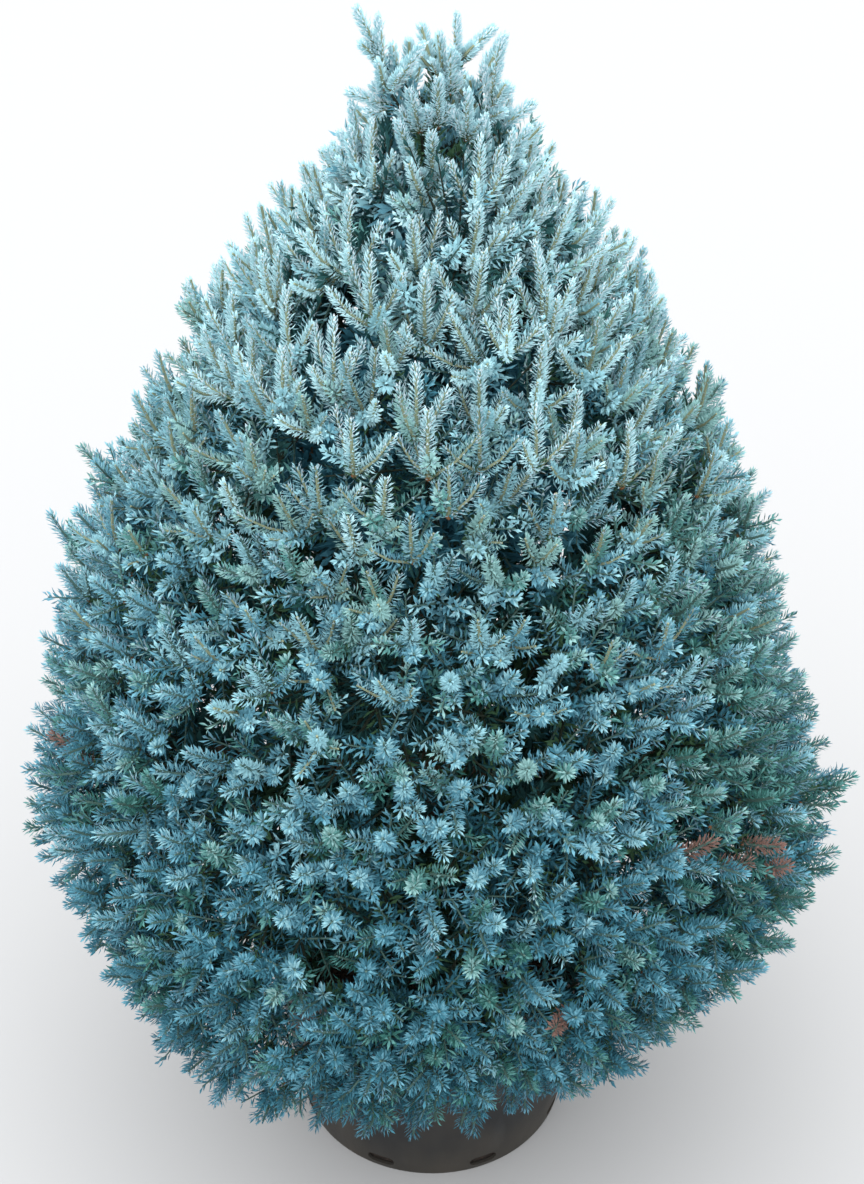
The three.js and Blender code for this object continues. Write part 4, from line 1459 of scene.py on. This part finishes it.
def relief_tube(line, radius_at, sides, depth, rng, lumps):
    """A closed limb with bark relief along a line of close points."""
    ways = unit(np.gradient(line, axis=0))
    steep = abs(ways[:, 2]).mean() > 0.6
    reference = np.array([1.0, 0, 0]) if steep else UP
    normal = unit(np.cross(ways, reference))
    binormal = np.cross(ways, normal)
    angle = np.arange(sides) * 2 * math.pi / sides
    reach = np.concatenate([[0], np.cumsum(np.linalg.norm(np.diff(line, axis=0), axis=1))])
    around, along_line = np.meshgrid(angle, reach)
    turns = around / (2 * math.pi)
    rough = np.zeros_like(around)
    for octave, share in BARK_OCTAVES:
        wrap = max(int(lumps * octave), 4)
        rough += share * lattice_noise(turns * wrap, along_line / (LUMP_LENGTH / octave), rng, wrap)
    flakes = np.abs(lattice_noise(turns * 2 * lumps, along_line / FLAKE_LENGTH, rng, 2 * lumps))
    height = depth * (rough + FLAKE_SHARE * np.minimum(flakes * FLAKE_EDGE, 1) + BARK_LEVEL)
    radius = radius_at(reach[:, None] / reach[-1], around) + height
    spread = normal[:, None] * np.cos(angle)[:, None] + binormal[:, None] * np.sin(angle)[:, None]
    body = line[:, None] + radius[..., None] * spread
    points = np.concatenate([body.reshape(-1, 3), line[:1], line[-1:]])
    return points, closed_skin(len(line), sides)


class SPRUCE_OT_limbs(Operator):
    """Makes the trunk and the boughs with the relief of their bark"""

    bl_idname = "spruce.limbs"
    bl_label = "Trunk and boughs"

    def execute(self, context):
        settings = context.scene.spruce_bark
        bark = bark_finish(settings)
        rng = np.random.default_rng(SEED + 500)
        heights = np.linspace(TRUNK_FOOT, TRUNK_TOP, TRUNK_FORM["steps"] + 1)
        line = trunk_point(heights)
        line[0, 2] = TRUNK_FOOT

        def trunk_at(u, angle):
            """The trunk's radius at u along it."""
            return trunk_radius(TRUNK_FOOT + u * (TRUNK_TOP - TRUNK_FOOT), angle)

        parts = Parts()
        sides, lumps = TRUNK_FORM["sides"], TRUNK_FORM["lumps"]
        points, faces = relief_tube(line, trunk_at, sides, settings.relief, rng, lumps)
        foot = points[:, 2] < TRUNK_FOOT + CUT_FOOT
        points[foot, 2] = TRUNK_FOOT
        parts.add(points, faces, 0)
        trunk = parts.build("bark_trunk", [bark], True)
        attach(trunk, BODY)
        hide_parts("trunk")

        parts = Parts()
        names = []
        sides, lumps, depth = BOUGH_FORM["sides"], BOUGH_FORM["lumps"], BOUGH_RELIEF * settings.relief
        for cell in all_cells():
            if cell["name"] == BOUGHLESS:
                continue
            names.append(f"bough_{cell['label']}")
            end, way = stem_foot(cell)
            path = bough_line(cell, end, way, BOUGH_FORM["steps"])

            def bough_at(u, angle, limb=cell["limb"]):
                """The bough's radius at u along it."""
                collar = COLLAR * np.exp(-u / COLLAR_REACH)
                return limb * (1 - (1 - LIMB_TIP_SHARE) * u + collar) + 0 * angle

            parts.add(*relief_tube(path, bough_at, sides, depth, rng, lumps), 0)
        boughs = parts.build("bark_boughs", [bark], True)
        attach(boughs, BODY)
        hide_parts(*names)
        return {"FINISHED"}


class SPRUCE_OT_foliage(Operator):
    """Grows the twigs and the needles of every mass"""

    bl_idname = "spruce.foliage"
    bl_label = "Twigs and needles"

    def execute(self, context):
        settings, tones = context.scene.spruce_crown, context.scene.spruce_tones
        needles = [
            plain_finish(f"needles_{name}", getattr(tones, name), roughness=0.7, gloss=0.12)
            for name in NEEDLE_SLOTS
        ]
        woods = [
            plain_finish(f"twig_{name}", getattr(tones, name), roughness=0.8, gloss=0.2)
            for name in TWIG_SLOTS
        ]
        cells = all_cells()
        grown = [(cell["label"], [f"mass_{cell['label']}"], grow_mass(cell, settings)) for cell in cells]
        grown.append(("leader", ["mass_leader"], grow_leader(settings)))
        boughs = [f"bough_{cell['label']}" for cell in cells if cell["name"] != BOUGHLESS]
        grown.append(("inner", boughs, grow_inner(settings)))
        for label, replaced, (shoots, parts, rng) in grown:
            grow_twigs(parts, shoots)
            twigs = parts.build(f"twigs_{label}", woods)
            spray = Parts()
            spray.add(*grow_needles(shoots, settings, rng))
            needle = spray.build(f"needles_{label}", needles)
            for made in (twigs, needle):
                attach(made, BODY)
                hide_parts(*replaced)
        return {"FINISHED"}


def pot_profile():
    """Radius and height along the pot's wall, from the middle of its underside round to the inside."""
    step, edge = POT_HEIGHT - POT_BAND_TALL, POT_HEIGHT - POT_LIP_TALL
    flare, inside = POT_SHOULDER - POT_FOOT, POT_BAND - POT_WALL
    outline = [
        (0, 0),
        (POT_FOOT - 0.004, 0),
        (POT_FOOT - 0.0012, 0.0012),
        (POT_FOOT, 0.004),
        *((POT_FOOT + part * flare, part * step) for part in (0.2, 0.5, 0.8)),
        (POT_SHOULDER, step),
        (POT_SHOULDER + 0.0045, step + 0.0035),
        (POT_BAND, step + 0.007),
        (POT_BAND + 0.001, step + 0.016),
        (POT_BAND + 0.002, edge),
        (POT_LIP - 0.0015, edge),
        (POT_LIP, edge + 0.0015),
        (POT_LIP, POT_HEIGHT - 0.003),
        (POT_LIP - 0.001, POT_HEIGHT - 0.001),
        (POT_LIP - 0.003, POT_HEIGHT),
        (inside + 0.003, POT_HEIGHT),
        (inside + 0.001, POT_HEIGHT - 0.0015),
        (inside, POT_HEIGHT - 0.006),
        (inside, step + 0.004),
        (POT_SHOULDER - POT_WALL, step - 0.002),
        (POT_FOOT - POT_WALL, POT_WALL),
        (0, POT_WALL),
    ]
    return np.array(outline)


def turned(profile, sides):
    """A closed solid of revolution about Z."""
    angle = np.arange(sides) * 2 * math.pi / sides
    inner = profile[1:-1]
    ring = np.stack(
        [
            inner[:, :1] * np.cos(angle),
            inner[:, :1] * np.sin(angle),
            np.repeat(inner[:, 1:], sides, axis=1),
        ],
        -1,
    ).reshape(-1, 3)
    points = np.concatenate([ring, [[0, 0, profile[0, 1]], [0, 0, profile[-1, 1]]]])
    return points, closed_skin(len(inner), sides)


def drain_cutter(turn):
    """The points of a bar with rounded sides, which cuts one drainage slot through the wall."""
    out = np.array([math.cos(turn), math.sin(turn), 0])
    side = np.array([-math.sin(turn), math.cos(turn), 0])
    bow = DRAIN_HEIGHT / 2
    straight = (DRAIN_WIDTH - DRAIN_HEIGHT) / 2
    ring = []
    for k in range(DRAIN_STEPS):
        angle = k * 2 * math.pi / DRAIN_STEPS
        across = straight * np.sign(math.cos(angle)) + bow * math.cos(angle)
        ring.append(across * side + (DRAIN_ABOVE + bow + bow * math.sin(angle)) * UP)
    middle = (DRAIN_ABOVE + bow) * UP
    near, far = DRAIN_NEAR * out, DRAIN_FAR * out
    return np.concatenate([near + ring, far + ring, [near + middle, far + middle]])


class SPRUCE_OT_pot(Operator):
    """Makes the pot, with its drainage slots cut through"""

    bl_idname = "spruce.pot"
    bl_label = "Pot"

    def execute(self, context):
        settings = context.scene.spruce_pot
        points, faces = turned(pot_profile(), settings.sides)
        finish = pot_finish(settings)
        pot = piece("nursery_pot", points, faces, np.zeros(len(faces)), [finish], True)
        cutters = Parts()
        for i in range(DRAINS):
            cutters.add(drain_cutter((i + 0.5) * 2 * math.pi / DRAINS), closed_skin(2, DRAIN_STEPS), 0)
        cutter = cutters.build("slot_cutter", [finish])
        cut = pot.modifiers.new("slots", "BOOLEAN")
        cut.operation = "DIFFERENCE"
        cut.solver = "EXACT"
        cut.object = cutter
        depsgraph = context.evaluated_depsgraph_get()
        finished = bpy.data.meshes.new_from_object(pot.evaluated_get(depsgraph))
        pot.modifiers.clear()
        pot.data = finished
        bpy.data.objects.remove(cutter)
        for polygon in finished.polygons:
            polygon.use_smooth = True
        finished.set_sharp_from_angle(angle=POT_SHARP)
        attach(pot, BODY)
        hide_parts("pot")
        return {"FINISHED"}


def chips_tree(chip, finish):
    """Geometry nodes that scatter chips over a surface and make them one mesh."""
    tree = bpy.data.node_groups.new("scatter_chips", "GeometryNodeTree")
    tree.interface.new_socket(name="Surface", in_out="INPUT", socket_type="NodeSocketGeometry")
    for name, kind, value in (
        ("Chips per square metre", "NodeSocketFloat", 1000.0),
        ("Smallest", "NodeSocketFloat", CHIP_SIZES[0]),
        ("Largest", "NodeSocketFloat", CHIP_SIZES[1]),
        ("Seed", "NodeSocketInt", CHIP_SEED),
    ):
        made = tree.interface.new_socket(name=name, in_out="INPUT", socket_type=kind)
        made.default_value = value
    tree.interface.new_socket(name="Chips", in_out="OUTPUT", socket_type="NodeSocketGeometry")
    nodes, links = tree.nodes, tree.links
    entry, leave = nodes.new("NodeGroupInput"), nodes.new("NodeGroupOutput")
    scatter = nodes.new("GeometryNodeDistributePointsOnFaces")
    links.new(entry.outputs["Surface"], scatter.inputs["Mesh"])
    links.new(entry.outputs["Chips per square metre"], scatter.inputs["Density"])
    links.new(entry.outputs["Seed"], scatter.inputs["Seed"])
    source = nodes.new("GeometryNodeObjectInfo")
    source.inputs["Object"].default_value = chip
    turn = nodes.new("FunctionNodeRandomValue")
    turn.data_type = "FLOAT_VECTOR"
    turn.inputs["Min"].default_value = (-0.5, -0.5, 0)
    turn.inputs["Max"].default_value = (0.5, 0.5, 2 * math.pi)
    links.new(entry.outputs["Seed"], turn.inputs["Seed"])
    size = nodes.new("FunctionNodeRandomValue")
    size.data_type = "FLOAT"
    links.new(entry.outputs["Smallest"], size.inputs[2])
    links.new(entry.outputs["Largest"], size.inputs[3])
    links.new(entry.outputs["Seed"], size.inputs["Seed"])
    place = nodes.new("GeometryNodeInstanceOnPoints")
    links.new(scatter.outputs["Points"], place.inputs["Points"])
    links.new(source.outputs["Geometry"], place.inputs["Instance"])
    links.new(turn.outputs[0], place.inputs["Rotation"])
    links.new(size.outputs[1], place.inputs["Scale"])
    real = nodes.new("GeometryNodeRealizeInstances")
    links.new(place.outputs["Instances"], real.inputs["Geometry"])
    paint = nodes.new("GeometryNodeSetMaterial")
    paint.inputs["Material"].default_value = finish
    links.new(real.outputs["Geometry"], paint.inputs["Geometry"])
    links.new(paint.outputs["Geometry"], leave.inputs["Chips"])
    return tree


def chip_mesh(size, finish):
    """One flat, broken flake of bark."""
    rng = np.random.default_rng(SEED + 7)
    count = 6
    angle = np.arange(count) * 2 * math.pi / count
    radius = size * rng.uniform(0.75, 1.1, count)
    half_length, half_width, top_share = 0.5, 0.3, 0.86
    flat = np.stack([half_length * radius * np.cos(angle), half_width * radius * np.sin(angle)], -1)
    # Heights against the chip's size: its lower and upper edge, and the middles of both its sides.
    lower, upper, lowest, highest = np.array([-0.04, 0.11, -0.05, 0.14]) * size
    low = np.concatenate([flat, np.full((count, 1), lower)], 1)
    top = np.concatenate([flat * top_share, np.full((count, 1), upper)], 1)
    points = np.concatenate([low, top, [[0, 0, lowest], [0, 0, highest]]])
    faces = closed_skin(2, count)
    return piece("chip", points, faces, np.zeros(len(faces)), [finish])


class SPRUCE_OT_compost(Operator):
    """Makes the compost in the pot and the bark chips on it"""

    bl_idname = "spruce.compost"
    bl_label = "Compost"

    def execute(self, context):
        settings = context.scene.spruce_pot
        rng = np.random.default_rng(SEED + 900)
        edge = POT_BAND - COMPOST_SLACK
        reach = edge * np.linspace(1, 0, COMPOST_RINGS + 2)[1:-1]
        profile = np.array(
            [
                (0, COMPOST_FLOOR),
                (POT_FOOT - COMPOST_SLACK, COMPOST_FLOOR),
                (POT_SHOULDER - COMPOST_SLACK, COMPOST_SHOULDER),
                (edge, COMPOST_BAND),
                (edge, SOIL_LEVEL - COMPOST_DIP),
                *zip(reach, SOIL_LEVEL - COMPOST_DIP * between(reach, DIP_PART)),
                (0, SOIL_LEVEL),
            ]
        )
        points, faces = turned(profile, COMPOST_SIDES)
        around = np.arctan2(points[:, 1], points[:, 0]) / (2 * math.pi) + 0.5
        out = np.hypot(points[:, 0], points[:, 1])
        bump = lattice_noise(around * CRUMBS_ROUND, out / CRUMB_LENGTH, rng, CRUMBS_ROUND)
        fine = lattice_noise(around * 2 * CRUMBS_ROUND, 2 * out / CRUMB_LENGTH, rng, 2 * CRUMBS_ROUND)
        bump = bump + FINE_CRUMBS * fine
        loose = (points[:, 2] > SOIL_LEVEL - COMPOST_DIP - CRUMB_MARGIN) & (out > CRUMB_FROM)
        clear = between(out, CRUMB_PART)
        points[loose, 2] += (CRUMB_HEIGHT * bump * clear - CRUMB_SINK)[loose]
        soil = compost_finish("compost", settings, 220)
        compost = piece("compost_fill", points, faces, np.zeros(len(faces)), [soil], True)
        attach(compost, BODY)
        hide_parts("compost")

        flake = compost_finish("bark_chip", settings, 160)
        chip = chip_mesh(settings.chip_size, flake)
        angle = np.arange(CHIPS_SIDES) * 2 * math.pi / CHIPS_SIDES
        inner, outer = CHIPS_FROM, edge - CHIPS_MARGIN
        level = SOIL_LEVEL - CHIPS_SINK
        rim = [
            np.stack([r * np.cos(angle), r * np.sin(angle), np.full(CHIPS_SIDES, z)], -1)
            for r, z in ((inner, level), (outer, level - CHIPS_DROP))
        ]
        ring = np.arange(CHIPS_SIDES)
        after = (ring + 1) % CHIPS_SIDES
        first = np.stack([ring, CHIPS_SIDES + ring, CHIPS_SIDES + after], -1)
        second = np.stack([ring, CHIPS_SIDES + after, after], -1)
        band = np.concatenate([first, second])
        carpet = piece("bark_chips", np.concatenate(rim), band, np.zeros(len(band)), [flake])
        tree = chips_tree(chip, flake)
        modifier = carpet.modifiers.new("chips", "NODES")
        modifier.node_group = tree
        inputs = (item for item in tree.interface.items_tree if item.in_out == "INPUT")
        sockets = {item.name: item.identifier for item in inputs}
        area = math.pi * (outer**2 - inner**2)
        modifier[sockets["Chips per square metre"]] = settings.chips / area
        modifier[sockets["Smallest"]], modifier[sockets["Largest"]] = CHIP_SIZES
        modifier[sockets["Seed"]] = CHIP_SEED
        depsgraph = context.evaluated_depsgraph_get()
        finished = bpy.data.meshes.new_from_object(carpet.evaluated_get(depsgraph))
        carpet.modifiers.clear()
        carpet.data = finished
        bpy.data.objects.remove(chip)
        if not finished.polygons:
            raise RuntimeError("no chips were scattered")
        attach(carpet, BODY)
        return {"FINISHED"}


# The stage: the floor's width, the sky's colour, how wide the light above is, and which way it shines.
FLOOR_SIZE = 18.0
SKY_COLOUR = (0.94, 0.965, 1.0)
OVERHEAD_SPREAD = math.radians(95)
OVERHEAD_WAY = (0.1, 0.3, -1)
# The camera's sensor in millimetres along the photograph's longer side, and that side in pixels.
SENSOR = 36
PHOTO_HEIGHT = 1184


def soft_sun(name, strength, spread, way):
    """An even, soft light from one side of the sky."""
    light = bpy.data.lights.new(name, "SUN")
    light.energy = strength
    light.angle = spread
    lamp = bpy.data.objects.new(name, light)
    lamp.rotation_euler = Vector(way).to_track_quat("-Z", "Y").to_euler()
    bpy.context.scene.collection.objects.link(lamp)


class SPRUCE_OT_stage(Operator):
    """Makes the floor, the light and the camera"""

    bl_idname = "spruce.stage"
    bl_label = "Stage"

    def execute(self, context):
        settings = context.scene.spruce_stage
        scene = context.scene
        half = FLOOR_SIZE / 2
        points = [[-half, -half, 0], [half, -half, 0], [half, half, 0], [-half, half, 0]]
        finish = plain_finish("floor", settings.floor_colour, roughness=0.9, gloss=0.1)
        floor = piece("floor", points, [[0, 1, 2], [0, 2, 3]], [0, 0], [finish])
        world = bpy.data.worlds.new("studio")
        world.use_nodes = True
        sky = world.node_tree.nodes["Background"]
        sky.inputs["Color"].default_value = (*SKY_COLOUR, 1)
        sky.inputs["Strength"].default_value = settings.sky_strength
        scene.world = world
        soft_sun("overhead", settings.overhead_strength, OVERHEAD_SPREAD, OVERHEAD_WAY)
        camera = bpy.data.cameras.new("camera")
        camera.sensor_width = SENSOR
        camera.lens = settings.focal_pixels * camera.sensor_width / PHOTO_HEIGHT
        eye = bpy.data.objects.new("camera", camera)
        scene.collection.objects.link(eye)
        rise = settings.elevation
        target = Vector((0, 0, settings.target_height))
        back = Vector((0, -math.cos(rise), math.sin(rise)))
        eye.location = target + back * settings.distance
        eye.rotation_euler = (-back).to_track_quat("-Z", "Y").to_euler()
        scene.camera = eye
        scene.view_settings.view_transform = "Standard"
        return {"FINISHED"}


class SPRUCE_PT_panel(Panel):
    """Lists the steps and the settings"""

    bl_idname = "SPRUCE_PT_panel"
    bl_label = "Potted blue spruce"
    bl_space_type = "VIEW_3D"
    bl_region_type = "UI"
    bl_category = "Spruce"

    def draw(self, context):
        for operator in OPERATORS:
            self.layout.operator(operator.bl_idname)
        for name, _ in SETTINGS:
            group = getattr(context.scene, name)
            box = self.layout.box()
            for key in group.__annotations__:
                box.prop(group, key)


SETTINGS = (
    ("spruce_crown", SpruceCrownSettings),
    ("spruce_tones", SpruceToneSettings),
    ("spruce_bark", SpruceBarkSettings),
    ("spruce_pot", SprucePotSettings),
    ("spruce_stage", SpruceStageSettings),
)
OPERATORS = (SPRUCE_OT_limbs, SPRUCE_OT_foliage, SPRUCE_OT_compost, SPRUCE_OT_pot, SPRUCE_OT_stage)


def register():
    """Adds the classes and the settings."""
    for name, group in SETTINGS:
        bpy.utils.register_class(group)
        setattr(bpy.types.Scene, name, PointerProperty(type=group))
    for operator in OPERATORS:
        bpy.utils.register_class(operator)
    bpy.utils.register_class(SPRUCE_PT_panel)


def unregister():
    """Removes the classes and the settings."""
    bpy.utils.unregister_class(SPRUCE_PT_panel)
    for operator in reversed(OPERATORS):
        bpy.utils.unregister_class(operator)
    for name, group in reversed(SETTINGS):
        delattr(bpy.types.Scene, name)
        bpy.utils.unregister_class(group)


def main():
    """Builds everything."""
    register()
    bpy.ops.spruce.stage()
    bpy.ops.spruce.pot()
    bpy.ops.spruce.compost()
    bpy.ops.spruce.limbs()
    bpy.ops.spruce.foliage()


if __name__ == "__main__":
    main()
